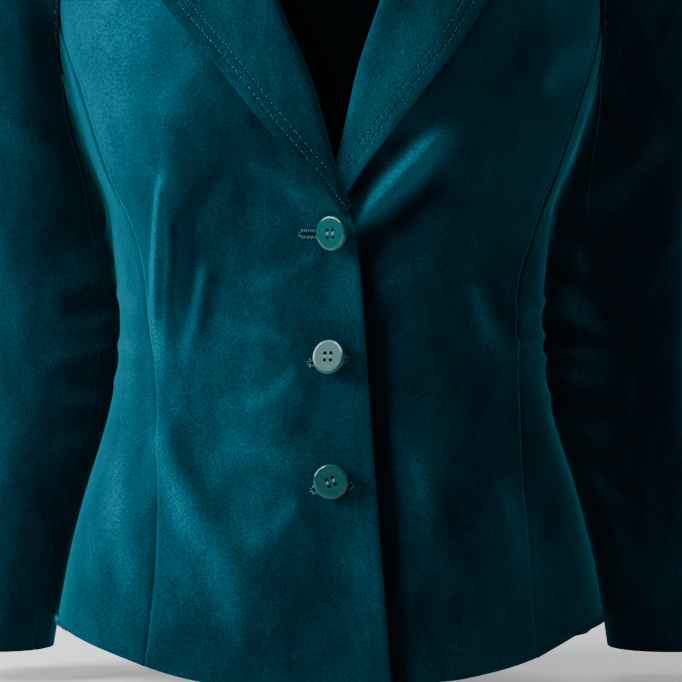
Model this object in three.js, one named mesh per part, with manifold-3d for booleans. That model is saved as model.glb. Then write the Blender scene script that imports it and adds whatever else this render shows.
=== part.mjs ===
// A woman's fitted velvet blazer, closed on three buttons and filled out as worn, with nobody inside.
// It is cut as two fronts, two side panels and two backs, with two-piece sleeves, wide notched lapels
// and a stand-and-fall collar. The right front laps over the left.
// Millimetres. +X is the wearer's left, -Y the front, +Z up. The origin lies midway between the two
// neck points, where the shoulder seams meet the collar and the garment hangs from the shoulders.
import * as THREE from "three";
import { mergeVertices } from "three/addons/utils/BufferGeometryUtils.js";
import Module from "manifold-3d";

const wasm = await Module();
wasm.setup();

// Cloth and seams
const clothThickness = 2.0;
const foldedThickness = 2.4; // lapels and collar, which are two layers
const seamGap = 0.3;
const halfGap = seamGap / 2;

// Key levels and widths
const neckHalf = 75; // origin to each neck point
const shoulderHalf = 203; // origin to each shoulder point
const shoulderDrop = -48; // height of the shoulder point
const backNeckDrop = -18; // height of the neckline at the centre back
const breakLevel = -347; // where the lapels break, just above the top button
const frontNotch = -222; // where the front panel seam meets the armhole
const backNotch = -205; // where the back panel seam meets the armhole
const underarmLevel = -250;

// How far the right front stands off the body over the left front, and how far the left one sinks
const lapOver = 3.0;
const lapUnder = -2.7;

// Horizontal sections of the torso, from hem to neck: half width, depth in front of and behind the
// side line, and the roundness of each half (2 is an ellipse, more is squarer).
const torsoSections = [
  { z: -668, half: 192, front: 121, back: 134, roundFront: 2.3, roundBack: 2.15 },
  { z: -620, half: 186, front: 119, back: 133, roundFront: 2.3, roundBack: 2.15 },
  { z: -585, half: 180, front: 117, back: 129, roundFront: 2.25, roundBack: 2.15 },
  { z: -532, half: 167, front: 113, back: 119, roundFront: 2.25, roundBack: 2.15 },
  { z: -480, half: 150, front: 107, back: 104, roundFront: 2.2, roundBack: 2.15 },
  { z: -437, half: 143.5, front: 103, back: 94, roundFront: 2.2, roundBack: 2.15 },
  { z: -420, half: 142.5, front: 103, back: 92, roundFront: 2.2, roundBack: 2.15 },
  { z: -383, half: 146.5, front: 106, back: 92, roundFront: 2.2, roundBack: 2.2 },
  { z: -343, half: 149.5, front: 113, back: 95, roundFront: 2.25, roundBack: 2.25 },
  { z: -318, half: 159, front: 119, back: 98, roundFront: 2.3, roundBack: 2.3 },
  { z: -277, half: 173, front: 127, back: 103, roundFront: 2.35, roundBack: 2.35 },
  { z: -240, half: 182.5, front: 130, back: 107, roundFront: 2.4, roundBack: 2.4 },
  { z: -190, half: 190, front: 125, back: 109, roundFront: 2.4, roundBack: 2.45 },
  { z: -150, half: 203, front: 115, back: 108, roundFront: 2.3, roundBack: 2.35 },
  { z: -100, half: 217, front: 98, back: 100, roundFront: 2.2, roundBack: 2.25 },
  { z: -74, half: 219, front: 85, back: 92, roundFront: 2.15, roundBack: 2.2 },
  { z: -60, half: 214, front: 78, back: 87, roundFront: 2.1, roundBack: 2.15 },
  { z: shoulderDrop, half: shoulderHalf, front: 73, back: 82, roundFront: 2.05, roundBack: 2.1 },
  { z: -36, half: 171, front: 66, back: 76, roundFront: 2, roundBack: 2.05 },
  { z: -24, half: 139, front: 59, back: 70, roundFront: 2, roundBack: 2 },
  { z: -12, half: 107, front: 52, back: 64, roundFront: 2, roundBack: 2 },
  { z: 0, half: neckHalf, front: 46, back: 58, roundFront: 2, roundBack: 2 },
];

// Hem level round the body, by angle from the centre front, on the lapped (right) and under (left) side
const hemLevels = [
  { angle: -16, right: -661, left: -651 },
  { angle: 0, right: -656, left: -650 },
  { angle: 20, right: -650, left: -648.5 },
  { angle: 28, right: -646, left: -645 },
  { angle: 36, right: -640.5, left: -640.5 },
  { angle: 49, right: -632.5, left: -631 },
  { angle: 62, right: -626, left: -621 },
  { angle: 75, right: -621, left: -617 },
  { angle: 90, right: -618, left: -616 },
  { angle: 135, right: -619, left: -618 },
  { angle: 180, right: -625, left: -625 },
];

// Front edge below the break, and roll line above it: distance from the centre towards the own side
const frontEdge = [
  { z: -668, right: -39.5, left: -12 },
  { z: -643, right: -38, left: -12.5 },
  { z: -596, right: -34.4, left: -13.5 },
  { z: -515, right: -28, left: -15.5 },
  { z: -457, right: -24, left: -16.5 },
  { z: -411, right: -21, left: -17 },
  { z: -386, right: -19, left: -16.5 },
  { z: -364, right: -16.5, left: -13 },
  { z: breakLevel, right: -11, left: -5.5 },
  { z: -335, right: -5.5, left: 1 },
  { z: -322, right: -0.6, left: 6 },
  { z: -297, right: 5.5, left: 12.5 },
  { z: -284, right: 8.3, left: 15 },
  { z: -249, right: 22, left: 23.5 },
  { z: -217, right: 36, left: 35.5 },
  { z: -190, right: 45, left: 45 },
  { z: -158, right: 53.5, left: 53.5 },
  { z: -126, right: 60.5, left: 60.5 },
  { z: -96, right: 65.5, left: 65.5 },
  { z: -68, right: 69, left: 69 },
  { z: -42, right: 71.5, left: 71.5 },
  { z: -20, right: 73.5, left: 73.5 },
  { z: 0, right: neckHalf, left: neckHalf },
];

// Front panel seam, and back panel seam: distance from the centre
const frontSeam = [
  { z: -668, right: 121, left: 136.5 },
  { z: -641, right: 119, left: 134 },
  { z: -599, right: 114, left: 130.5 },
  { z: -565, right: 111.5, left: 128.5 },
  { z: -528, right: 110.5, left: 125.5 },
  { z: -492, right: 111, left: 124.5 },
  { z: -453, right: 114.5, left: 123.5 },
  { z: -430, right: 116.5, left: 122 },
  { z: -405, right: 117.5, left: 121.5 },
  { z: -388, right: 119, left: 124 },
  { z: -359, right: 128.5, left: 134 },
  { z: -335, right: 141, left: 144 },
  { z: -311, right: 151, left: 153 },
  { z: -272, right: 162, left: 165 },
  { z: frontNotch, right: 179, left: 179 },
];
const backSeam = [
  { z: -668, right: 118, left: 118 },
  { z: -600, right: 108, left: 108 },
  { z: -540, right: 98, left: 98 },
  { z: -480, right: 88, left: 88 },
  { z: -425, right: 85, left: 85 },
  { z: -360, right: 97, left: 97 },
  { z: -310, right: 117, left: 117 },
  { z: -260, right: 143, left: 143 },
  { z: backNotch, right: 176, left: 176 },
];

// Armhole, by height: angle round the body in front and behind
const armholeFront = [
  { z: underarmLevel, angle: 90 },
  { z: -232, angle: 79 },
  { z: frontNotch, angle: 75 },
  { z: -190, angle: 65.4 },
  { z: -160, angle: 58.5 },
  { z: -115, angle: 54.4 },
  { z: -80, angle: 57.7 },
  { z: -60, angle: 66.4 },
  { z: -51, angle: 78 },
  { z: shoulderDrop, angle: 90 },
];
const armholeBack = [
  { z: underarmLevel, angle: 90 },
  { z: -238, angle: 100 },
  { z: backNotch, angle: 111.8 },
  { z: -165, angle: 116.9 },
  { z: -120, angle: 123.2 },
  { z: -85, angle: 121.9 },
  { z: -61, angle: 113.4 },
  { z: -51, angle: 102 },
  { z: shoulderDrop, angle: 90 },
];

// Row heights. Above the notch a row runs from the roll line or neckline out to the armhole.
const seamLevels = [-625, -598, -570, -542, -515, -488, -461, -434, -410, -386, -364, breakLevel];
const rollLevels = [-335, -322, -297, -272, -247]; // lapel rows, up to the front notch
const frontUpperRows = [
  { inner: -194, outer: -200 },
  { inner: -164, outer: -178 },
  { inner: -134, outer: -156 },
  { inner: -104, outer: -134 },
  { inner: -75, outer: -113 },
  { inner: -47, outer: -94 },
  { inner: -22, outer: -76 },
  { inner: -7, outer: -61 },
];
const backUpperRows = [
  { angle: 180, z: -165, outer: -182 },
  { angle: 180, z: -122, outer: -159 },
  { angle: 180, z: -82, outer: -136 },
  { angle: 180, z: -46, outer: -115 },
  { angle: 180, z: backNeckDrop, outer: -95 },
  { angle: 161, z: -16, outer: -78 },
  { angle: 143, z: -10.5, outer: -67 },
  { angle: 122, z: -4, outer: -57 },
];
const frontColumns = 13;
const sideColumns = 8;
const backColumns = 9;

// Largest folds of the torso, as ridges (or troughs, where the height is negative) between two points
// seen from in front, or from behind: x and z of each end, height, and half width.
const frontFolds = [
  { x1: -113, z1: -322, x2: -117, z2: -432, height: 4, width: 9 }, // strain from bust to waist at the seam
  { x1: -80, z1: -378, x2: -96, z2: -432, height: 3.2, width: 8 },
  { x1: 16, z1: -358, x2: 80, z2: -290, height: 4.2, width: 9 }, // drag from the top button
  { x1: 26, z1: -378, x2: 100, z2: -318, height: -2.6, width: 14 },
  { x1: 128, z1: -262, x2: 172, z2: -212, height: 3.2, width: 15 }, // from bust to armhole
  { x1: -128, z1: -262, x2: -172, z2: -205, height: 2.6, width: 16 },
  { x1: 92, z1: -385, x2: 120, z2: -452, height: 2.8, width: 13 },
  { x1: -112, z1: -470, x2: -80, z2: -590, height: 3.0, width: 14 }, // hip drapes
  { x1: -150, z1: -590, x2: -122, z2: -520, height: 2.6, width: 13 },
  { x1: -70, z1: -480, x2: -28, z2: -455, height: 2.0, width: 13 },
  { x1: -62, z1: -560, x2: -40, z2: -640, height: 2.4, width: 16 },
  { x1: 70, z1: -520, x2: 96, z2: -640, height: 2.2, width: 17 },
  { x1: 12, z1: -470, x2: 24, z2: -640, height: 1.8, width: 9 },
];
const backFolds = [
  { x1: -78, z1: -400, x2: -18, z2: -418, height: 2.8, width: 9 },
  { x1: 78, z1: -402, x2: 20, z2: -420, height: 2.8, width: 9 },
  { x1: -84, z1: -438, x2: -24, z2: -444, height: 2.4, width: 8 },
  { x1: 82, z1: -436, x2: 26, z2: -446, height: 2.4, width: 8 },
  { x1: -128, z1: -180, x2: -96, z2: -280, height: 3.0, width: 13 },
  { x1: 128, z1: -178, x2: 98, z2: -282, height: 3.0, width: 13 },
  { x1: -60, z1: -520, x2: -72, z2: -625, height: 2.6, width: 18 },
  { x1: 58, z1: -515, x2: 70, z2: -625, height: 2.6, width: 18 },
  { x1: -40, z1: -60, x2: -110, z2: -95, height: 1.8, width: 13 },
  { x1: 40, z1: -60, x2: 110, z2: -95, height: 1.8, width: 13 },
];

// Lapel, from the break to the gorge: height on the roll line, and the outer edge on each side
const lapelRows = [
  { roll: breakLevel, rightOut: -5.5, rightZ: -350, leftOut: 4, leftZ: -348.5 },
  { roll: -335, rightOut: 5, rightZ: -337, leftOut: 13, leftZ: -335 },
  { roll: -322, rightOut: 14, rightZ: -325, leftOut: 22, leftZ: -320 },
  { roll: -297, rightOut: 32, rightZ: -305, leftOut: 39, leftZ: -299 },
  { roll: -272, rightOut: 50, rightZ: -284, leftOut: 55, leftZ: -279 },
  { roll: -247, rightOut: 66, rightZ: -264, leftOut: 69, leftZ: -260 },
  { roll: frontNotch, rightOut: 82, rightZ: -245, leftOut: 82.5, leftZ: -244 },
  { roll: -194, rightOut: 99, rightZ: -225, leftOut: 95.5, leftZ: -223 },
  { roll: -164, rightOut: 115, rightZ: -205, leftOut: 107.5, leftZ: -201.5 },
  { roll: -134, rightOut: 127.5, rightZ: -186, leftOut: 119, leftZ: -182 },
  { roll: -104, rightOut: 137, rightZ: -166, leftOut: 129, leftZ: -163 },
];
// Its section: distance out from the roll line and height over the front panel, round the roll first
const lapelRoll = [
  { out: -1.7, lift: 0.1 },
  { out: -2.0, lift: 1.4 },
  { out: -1.2, lift: 2.9 },
  { out: 1.0, lift: 4.0 },
  { out: 4.6, lift: 4.3 },
];
const lapelFlat = [
  { share: 0.22, lift: 4.2 },
  { share: 0.45, lift: 4.0 },
  { share: 0.7, lift: 3.5 },
  { share: 1, lift: 2.9 },
];
const lapelPressed = 2.75; // its height where the left lapel passes beneath the right front
const notchShare = 0.54; // how far along the gorge the collar reaches

// Collar, from the centre back to the gorge. station counts the rows of the neck edge, from 0 at the
// centre back past the neck point to the gorge. stand is the height of the fold, lean turns the stand
// from the cloth's normal (0) to upright (1), and the fall edge is an angle and height, or, in front
// of the neck point, a distance out and height. seat moves the foot from the edge's top to its side.
const collarBack = [
  { station: 0, stand: 32, lean: 1, fallAngle: 180, fallZ: -38, seat: 0 },
  { station: 0.5, stand: 32, lean: 1, fallAngle: 169, fallZ: -38.5, seat: 0 },
  { station: 1, stand: 31.5, lean: 1, fallAngle: 158, fallZ: -39, seat: 0 },
  { station: 1.5, stand: 31, lean: 1, fallAngle: 148.5, fallZ: -38.5, seat: 0 },
  { station: 2, stand: 30, lean: 1, fallAngle: 139, fallZ: -37, seat: 0 },
  { station: 2.5, stand: 29.2, lean: 1, fallAngle: 129, fallZ: -33.5, seat: 0 },
  { station: 3, stand: 28, lean: 1, fallAngle: 118, fallZ: -28, seat: 0 },
  { station: 3.4, stand: 26.6, lean: 1, fallAngle: 106, fallZ: -24, seat: 0 },
  { station: 3.75, stand: 25.2, lean: 1, fallAngle: 97, fallZ: -21.5, seat: 0 },
  { station: 4, stand: 24, lean: 1, fallAngle: 90, fallZ: -19.5, seat: 0 },
];
const collarFront = [
  { station: 4.5, stand: 20, lean: 0.9, fallOut: 127, fallZ: -25, seat: 0 },
  { station: 5, stand: 17, lean: 0.75, fallOut: 128, fallZ: -33.5, seat: 0.25 },
  { station: 5.5, stand: 14, lean: 0.6, fallOut: 128.5, fallZ: -42.5, seat: 0.5 },
  { station: 6, stand: 11.5, lean: 0.4, fallOut: 128.8, fallZ: -53, seat: 0.7 },
  { station: 6.5, stand: 9.5, lean: 0.25, fallOut: 128.8, fallZ: -65, seat: 0.85 },
  { station: 7, stand: 7.5, lean: 0.1, fallOut: 128, fallZ: -78, seat: 1 },
  { station: 7.5, stand: 6.4, lean: 0, fallOut: 127, fallZ: -89, seat: 1 },
  { station: 8, stand: 5.8, lean: 0, fallOut: 125.5, fallZ: -99, seat: 1 },
  { station: 8.5, stand: 5.4, lean: 0, fallOut: 123, fallZ: -110, seat: 1 },
];
const collarRollRadius = 2.9;
const collarLift = 3.3;

// Sleeve rings below the armhole: outermost and innermost point, reach to front and back of the middle,
// how far back the middle lies, and how much further back the inner side is tucked behind the waist
const sleeveRings = [
  { outX: 222, outZ: -52, inX: 183.8, inZ: -261, front: 64, back: 62, mid: 0, tuck: 6 },
  { outX: 238, outZ: -75, inX: 177.6, inZ: -275, front: 66, back: 65, mid: 0, tuck: 18 },
  { outX: 248, outZ: -113, inX: 172.5, inZ: -291, front: 67, back: 66, mid: 2, tuck: 20 },
  { outX: 254, outZ: -165, inX: 165, inZ: -311, front: 65, back: 67, mid: 5, tuck: 21 },
  { outX: 256, outZ: -225, inX: 155, inZ: -336, front: 61, back: 66, mid: 10, tuck: 20 },
  { outX: 254.5, outZ: -290, inX: 149.5, inZ: -368, front: 58, back: 64, mid: 16, tuck: 16 },
  { outX: 251, outZ: -350, inX: 145, inZ: -402, front: 55, back: 62, mid: 22, tuck: 12 },
  { outX: 248, outZ: -405, inX: 143.5, inZ: -434, front: 52, back: 59, mid: 26, tuck: 8 },
  { outX: 247, outZ: -452, inX: 147, inZ: -464, front: 50, back: 56, mid: 28, tuck: 5 },
  { outX: 250, outZ: -500, inX: 157, inZ: -502, front: 47, back: 52, mid: 28, tuck: 2 },
  { outX: 257, outZ: -548, inX: 172.5, inZ: -548, front: 44, back: 48, mid: 27, tuck: 1 },
  { outX: 265, outZ: -597, inX: 185, inZ: -597, front: 42, back: 44, mid: 25, tuck: 0 },
  { outX: 271, outZ: -642, inX: 192, inZ: -642, front: 40, back: 41, mid: 22, tuck: 0 },
];
const sleeveSteps = 20;
const sleeveStandOff = 2.5; // from the side panel, where the sleeve hangs past it under the arm
// Where the sleeve seams lie, in degrees round the sleeve from its outermost line, towards the front
const frontSleeveSeamTurn = { right: 136, left: 121 };
const backSleeveSeamTurn = { right: 246, left: 238 };
const frontSeamColumn = 9; // armhole points, counted from the shoulder point round the front
const backSeamColumn = 18;

// Folds of a sleeve: turn and height of each end, height, half width, all on the sleeve's own surface
const sleeveFolds = [
  { turn1: 150, z1: -352, turn2: 95, z2: -395, height: 3.6, width: 8 }, // elbow folds, inside to front
  { turn1: 158, z1: -392, turn2: 80, z2: -428, height: 3.8, width: 8 },
  { turn1: 150, z1: -430, turn2: 70, z2: -452, height: 3.2, width: 8 },
  { turn1: 140, z1: -466, turn2: 75, z2: -492, height: 2.8, width: 9 },
  { turn1: 60, z1: -300, turn2: 110, z2: -352, height: 2.6, width: 11 },
  { turn1: 215, z1: -404, turn2: 268, z2: -420, height: -2.6, width: 9 },
  { turn1: 210, z1: -440, turn2: 272, z2: -440, height: 2.6, width: 9 },
  { turn1: 300, z1: -120, turn2: 262, z2: -215, height: 2.6, width: 14 }, // back of the sleeve head
  { turn1: 45, z1: -135, turn2: 100, z2: -225, height: 2.4, width: 14 },
  { turn1: 20, z1: -500, turn2: 50, z2: -590, height: 2.2, width: 13 },
  { turn1: 335, z1: -470, turn2: 300, z2: -560, height: 2.2, width: 13 },
];

// Buttons: four-hole, with a rounded rim, each turned as it hangs
const buttonRadius = 11.5;
const buttonThickness = 3.4;
const buttonHoleRadius = 1.2;
const buttonHoleOffset = 2.05;
const buttonSides = 28;
const buttonSeat = 0.4; // gap under a button, which its thread fills
const buttons = [
  { name: "button_top", x: 1.9, z: -362, turn: -35, tip: -6, spin: 0 },
  { name: "button_middle", x: 0, z: -442.7, turn: -26, tip: -8, spin: 0 },
  { name: "button_bottom", x: 0.9, z: -521.8, turn: -8, tip: 6, spin: 24 },
];

const degrees = Math.PI / 180;
const clamp01 = (value) => Math.min(1, Math.max(0, value));
const smooth = (value) => {
  const v = clamp01(value);
  return v * v * (3 - 2 * v);
};
const mix = (a, b, share) => a + (b - a) * share;

// The value of one column of a table at a key, on a smooth curve that never overshoots its rows
function look(table, key, name, at) {
  const last = table.length - 1;
  if (at <= table[0][key]) return table[0][name];
  if (at >= table[last][key]) return table[last][name];
  let row = 0;
  while (at > table[row + 1][key]) row++;
  const slope = (k) => (table[k + 1][name] - table[k][name]) / (table[k + 1][key] - table[k][key]);
  const tangent = (k) => {
    if (k === 0) return slope(0);
    if (k === last) return slope(last - 1);
    const before = slope(k - 1);
    const after = slope(k);
    return before * after <= 0 ? 0 : (2 * before * after) / (before + after);
  };
  const span = table[row + 1][key] - table[row][key];
  const s = (at - table[row][key]) / span;
  const s2 = s * s;
  const s3 = s2 * s;
  return (
    (2 * s3 - 3 * s2 + 1) * table[row][name] +
    (s3 - 2 * s2 + s) * span * tangent(row) +
    (3 * s2 - 2 * s3) * table[row + 1][name] +
    (s3 - s2) * span * tangent(row + 1)
  );
}

// Height of a set of folds at a point of their own plane
function foldHeight(folds, across, z, keys) {
  let height = 0;
  for (const fold of folds) {
    const [a1, z1, a2, z2] = keys.map((key) => fold[key]);
    const da = a2 - a1;
    const dz = z2 - z1;
    const length2 = da * da + dz * dz;
    const along = ((across - a1) * da + (z - z1) * dz) / length2;
    const nearest = clamp01(along);
    const off = Math.hypot(across - a1 - nearest * da, z - z1 - nearest * dz);
    const taper = smooth(Math.min(nearest, 1 - nearest) * 4 + 0.15);
    height += fold.height * taper * Math.exp(-((off / fold.width) ** 2));
  }
  return height;
}

// A point of the bare torso at an angle from the centre front and a height
function torsoPoint(angle, z) {
  const inFront = Math.cos(angle * degrees) >= 0;
  const half = look(torsoSections, "z", "half", z);
  const depth = look(torsoSections, "z", inFront ? "front" : "back", z);
  const power = 2 / look(torsoSections, "z", inFront ? "roundFront" : "roundBack", z);
  const across = Math.sin(angle * degrees);
  const ahead = Math.abs(Math.cos(angle * degrees));
  const x = half * Math.sign(across) * Math.abs(across) ** power;
  return new THREE.Vector3(x, (inFront ? -1 : 1) * depth * ahead ** power, z);
}

function torsoNormal(angle, z) {
  const round = torsoPoint(angle + 2, z).sub(torsoPoint(angle - 2, z));
  const up = torsoPoint(angle, z + 2).sub(torsoPoint(angle, z - 2));
  return round.cross(up).normalize();
}

// The angle at which the torso is a given distance from the centre, in front or behind
function angleAt(out, z, behind = false) {
  const half = look(torsoSections, "z", "half", z);
  const power = look(torsoSections, "z", behind ? "roundBack" : "roundFront", z) / 2;
  const angle = (Math.asin(Math.sign(out) * Math.min(1, Math.abs(out) / half) ** power)) / degrees;
  return behind ? 180 - angle : angle;
}

// How far a front stands off or sinks where the two lap, by its distance from the centre
function lapHeight(side, out, z) {
  const full = side === "right" ? lapOver : lapUnder;
  return full * smooth((62 - out) / 42) * smooth((-252 - z) / 60);
}

// The middle of the cloth on the torso, with its folds and laps. side is "right" or "left".
function clothPoint(side, angle, z, lift = 0) {
  const sign = side === "right" ? -1 : 1;
  const point = torsoPoint(angle, z);
  const inFront = point.y < 0;
  const folds = foldHeight(inFront ? frontFolds : backFolds, sign * point.x, z, ["x1", "z1", "x2", "z2"]);
  const fade = smooth(Math.abs(point.y) / 30) * smooth((-40 - z) / 40 + 1);
  const lap = inFront ? lapHeight(side, point.x, z) : 0;
  point.addScaledVector(torsoNormal(angle, z), folds * fade + lap + lift);
  point.x *= sign;
  return point;
}

function hemLevel(side, angle) {
  return look(hemLevels, "angle", side, angle);
}

// Angle and height of a seam or edge on a row, with row 0 on the hem
function onSeam(side, table, level, behind = false) {
  const angleFor = (z) => angleAt(look(table, "z", side, z), z, behind);
  if (level !== null) return { angle: angleFor(level), z: level };
  let z = hemLevel(side, 0);
  for (let pass = 0; pass < 6; pass++) z = hemLevel(side, angleFor(z));
  return { angle: angleFor(z), z };
}

const lowerLevels = [null, ...seamLevels, ...rollLevels];

// The armhole's points, from the shoulder point round the front, under the arm and up the back
function armholePlaces(side) {
  const front = [shoulderDrop, ...frontUpperRows.map((row) => row.outer).reverse(), frontNotch];
  const back = [...backUpperRows.map((row) => row.outer), shoulderDrop];
  const places = front.map((z) => ({ angle: look(armholeFront, "z", "angle", z), z }));
  places[places.length - 1] = onSeam(side, frontSeam, frontNotch);
  for (let column = 1; column <= sideColumns; column++) {
    places.push(underarmPlace(side, column / sideColumns));
  }
  for (const z of back) places.push({ angle: look(armholeBack, "z", "angle", z), z });
  return places;
}

// A point of the underarm curve, from the front notch to the back notch
function underarmPlace(side, share) {
  const start = onSeam(side, frontSeam, frontNotch);
  const end = onSeam(side, backSeam, backNotch, true);
  const angle = mix(start.angle, end.angle, share);
  const dip = Math.sin(share * Math.PI) ** 0.8;
  const z = mix(start.z, end.z, share) * (1 - dip) + underarmLevel * dip;
  return { angle, z };
}

// Rows of places between an inner and an outer line
function rowsBetween(inner, outer, columns) {
  return inner.map((start, row) => {
    const end = outer[row];
    return Array.from({ length: columns + 1 }, (_, column) => {
      const share = column / columns;
      return { angle: mix(start.angle, end.angle, share), z: mix(start.z, end.z, share) };
    });
  });
}

// Hem rows follow the hem's own curve between their ends
function curveHem(side, places) {
  for (const place of places[0]) place.z = hemLevel(side, place.angle);
  return places;
}

// A node of a grid: a point of the middle of the cloth and the direction out of the cloth
function clothNode(side, place) {
  const out = torsoNormal(place.angle, place.z);
  if (side === "right") out.x *= -1;
  return { at: clothPoint(side, place.angle, place.z), out };
}

const toCloth = (side, rows) => rows.map((row) => row.map((place) => clothNode(side, place)));

function frontGrid(side) {
  const inner = [...lowerLevels, frontNotch].map((level) => onSeam(side, frontEdge, level));
  const outer = [...lowerLevels, frontNotch].map((level) => onSeam(side, frontSeam, level));
  for (const row of frontUpperRows) {
    inner.push(onSeam(side, frontEdge, row.inner));
    outer.push({ angle: look(armholeFront, "z", "angle", row.outer), z: row.outer });
  }
  inner.push({ angle: 90, z: 0 });
  outer.push({ angle: 90, z: shoulderDrop });
  return toCloth(side, curveHem(side, rowsBetween(inner, outer, frontColumns)));
}

// Side panel levels climb evenly from the hem to the underarm curve
function sideGrid(side) {
  const columns = Array.from({ length: sideColumns + 1 }, (_, column) => column / sideColumns);
  const front = [...lowerLevels, frontNotch].map((level) => onSeam(side, frontSeam, level));
  const back = backSeamPlaces(side);
  const places = front.map((start, row) => {
    const end = back[row];
    const between = (share, key) => mix(start[key], end[key], share);
    return columns.map((share) => ({ angle: between(share, "angle"), z: between(share, "z") }));
  });
  curveHem(side, places);
  const top = places.length - 1;
  places[top] = columns.map((share) => underarmPlace(side, share));
  columns.forEach((share, column) => {
    const drop = places[top][column].z - mix(frontNotch, backNotch, share);
    for (let row = top - 6; row < top; row++) {
      places[row][column].z += drop * smooth((row - (top - 7)) / 7);
    }
  });
  return toCloth(side, places);
}

// The back panel seam has as many rows as the front one, up to its own notch
function backSeamPlaces(side) {
  const rise = (z) => mix(0, backNotch - frontNotch, smooth((z - breakLevel) / (frontNotch - breakLevel)));
  return [...lowerLevels, frontNotch].map((level) =>
    onSeam(side, backSeam, level === null ? null : level + rise(level), true),
  );
}

function backGrid(side) {
  const outer = backSeamPlaces(side);
  const inner = outer.map((place, row) => ({ angle: 180, z: row ? place.z : hemLevel(side, 180) }));
  for (const row of backUpperRows) {
    inner.push({ angle: row.angle, z: row.z });
    outer.push({ angle: look(armholeBack, "z", "angle", row.outer), z: row.outer });
  }
  inner.push({ angle: 90, z: 0 });
  outer.push({ angle: 90, z: shoulderDrop });
  return toCloth(side, curveHem(side, rowsBetween(inner, outer, backColumns)));
}

// A point over a front, by its distance out from the centre, its height and its lift off the cloth
const overFront = (side, out, z, lift) => clothPoint(side, angleAt(out, z), z, lift);

// One row of the lapel, from round the roll line to the outer edge
function lapelSection(side, row, index) {
  const rollOut = look(frontEdge, "z", side, row.roll);
  const edgeOut = row[`${side}Out`];
  const edgeZ = row[`${side}Z`];
  const width = Math.hypot(edgeOut - rollOut, edgeZ - row.roll);
  const most = side === "left" ? mix(lapelPressed, 4.3, smooth((index - 1) / 3)) : 4.3;
  const acrossPer = (edgeOut - rollOut) / width;
  const upPer = (edgeZ - row.roll) / width;
  const place = (out, lift) => overFront(side, rollOut + acrossPer * out, row.roll + upPer * out, lift);
  const start = lapelRoll[lapelRoll.length - 1].out;
  return [
    ...lapelRoll.map((step) => place(step.out, Math.min(step.lift, most))),
    ...lapelFlat.map((step) => place(mix(start, width, step.share), Math.min(step.lift, most))),
  ];
}

const lapelGrid = (side) => lapelRows.map((row, index) => lapelSection(side, row, index));

// The neck edge of the back and front, node by node from the centre back to the gorge
function neckEdge(side) {
  const back = backUpperRows.slice(backUpperRows.findIndex((row) => row.z === backNeckDrop));
  const gorge = lapelRows[lapelRows.length - 1].roll;
  const front = frontUpperRows.map((row) => row.inner).filter((z) => z >= gorge);
  const places = [...back.map((row) => ({ angle: row.angle, z: row.z })), { angle: 90, z: 0 }];
  for (const z of front.reverse()) places.push({ angle: angleAt(look(frontEdge, "z", side, z), z), z });
  return places.map((place) => clothNode(side, place));
}

// One section of the collar from its seam, up the stand, over the fold and down the fall
function collarSection(seam, row, fall) {
  const up = seam.out.clone().lerp(new THREE.Vector3(0, 0, 1), row.lean).normalize();
  const out = fall.clone().sub(seam.at);
  out.addScaledVector(up, -out.dot(up)).normalize();
  const start = mix(0, lapelRoll[0].out, smooth(row.seat * 2));
  const high = (seam.out.dot(up) * clothThickness) / 2 + seamGap + 0.1;
  const foot = mix(high, lapelRoll[0].lift, smooth(row.seat * 2 - 1));
  const place = (d, h) => seam.at.clone().addScaledVector(out, d).addScaledVector(up, h);
  const r = Math.min(collarRollRadius, row.stand / 2);
  const turnOver = place(start + 2 * r, row.stand - 0.8 * r);
  const points = [
    place(start, foot),
    place(start, mix(foot, row.stand - r, 0.5)),
    place(start, row.stand - r),
    place(start + 0.3 * r, row.stand - 0.3 * r),
    place(start + r, row.stand),
  ];
  const bulge = out.clone().multiplyScalar(0.5).addScaledVector(up, 0.9).normalize();
  for (let step = 0; step <= 5; step++) {
    const share = step / 5;
    points.push(turnOver.clone().lerp(fall, share).addScaledVector(bulge, 9 * share * (1 - share)));
  }
  return points;
}

function collarGrid() {
  const half = (side) => {
    const edge = neckEdge(side);
    const seamAt = (station) => {
      const from = edge[Math.floor(station)];
      const to = edge[Math.ceil(station)];
      const share = station % 1;
      const out = from.out.clone().lerp(to.out, share).normalize();
      return { at: from.at.clone().lerp(to.at, share), out };
    };
    const sections = collarBack.map((row) =>
      collarSection(seamAt(row.station), row, clothPoint(side, row.fallAngle, row.fallZ, collarLift)),
    );
    for (const row of collarFront) {
      const fall = overFront(side, row.fallOut, row.fallZ, collarLift);
      sections.push(collarSection(seamAt(row.station), row, fall));
    }
    return [...sections, gorgeSection(side)];
  };
  const right = half("right");
  const left = half("left");
  return [...right.reverse(), ...left.slice(1)];
}

// The collar's last section runs along the gorge, just clear of the lapel's top edge
function gorgeSection(side) {
  const row = lapelRows[lapelRows.length - 1];
  const rollOut = look(frontEdge, "z", side, row.roll);
  const slope = new THREE.Vector2(row[`${side}Out`] - rollOut, row[`${side}Z`] - row.roll);
  const width = slope.length();
  slope.divideScalar(width);
  const place = (out, lift) => {
    const across = rollOut + slope.x * out - slope.y * seamGap;
    return overFront(side, across, row.roll + slope.y * out + slope.x * seamGap, lift);
  };
  const start = lapelRoll[lapelRoll.length - 1].out;
  const flat = [0, 0.2, 0.4, 0.6, 0.8, 1].map((share) => {
    const lift = look([{ share: 0, lift: 4.3 }, ...lapelFlat], "share", "lift", share * notchShare);
    return place(mix(start, width * notchShare, share), lift);
  });
  const roll = lapelRoll.slice(0, 4).map((step) => place(step.out, step.lift));
  return [roll[0], roll[1], roll[2], roll[3], place(2.8, 4.3), ...flat];
}

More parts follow.
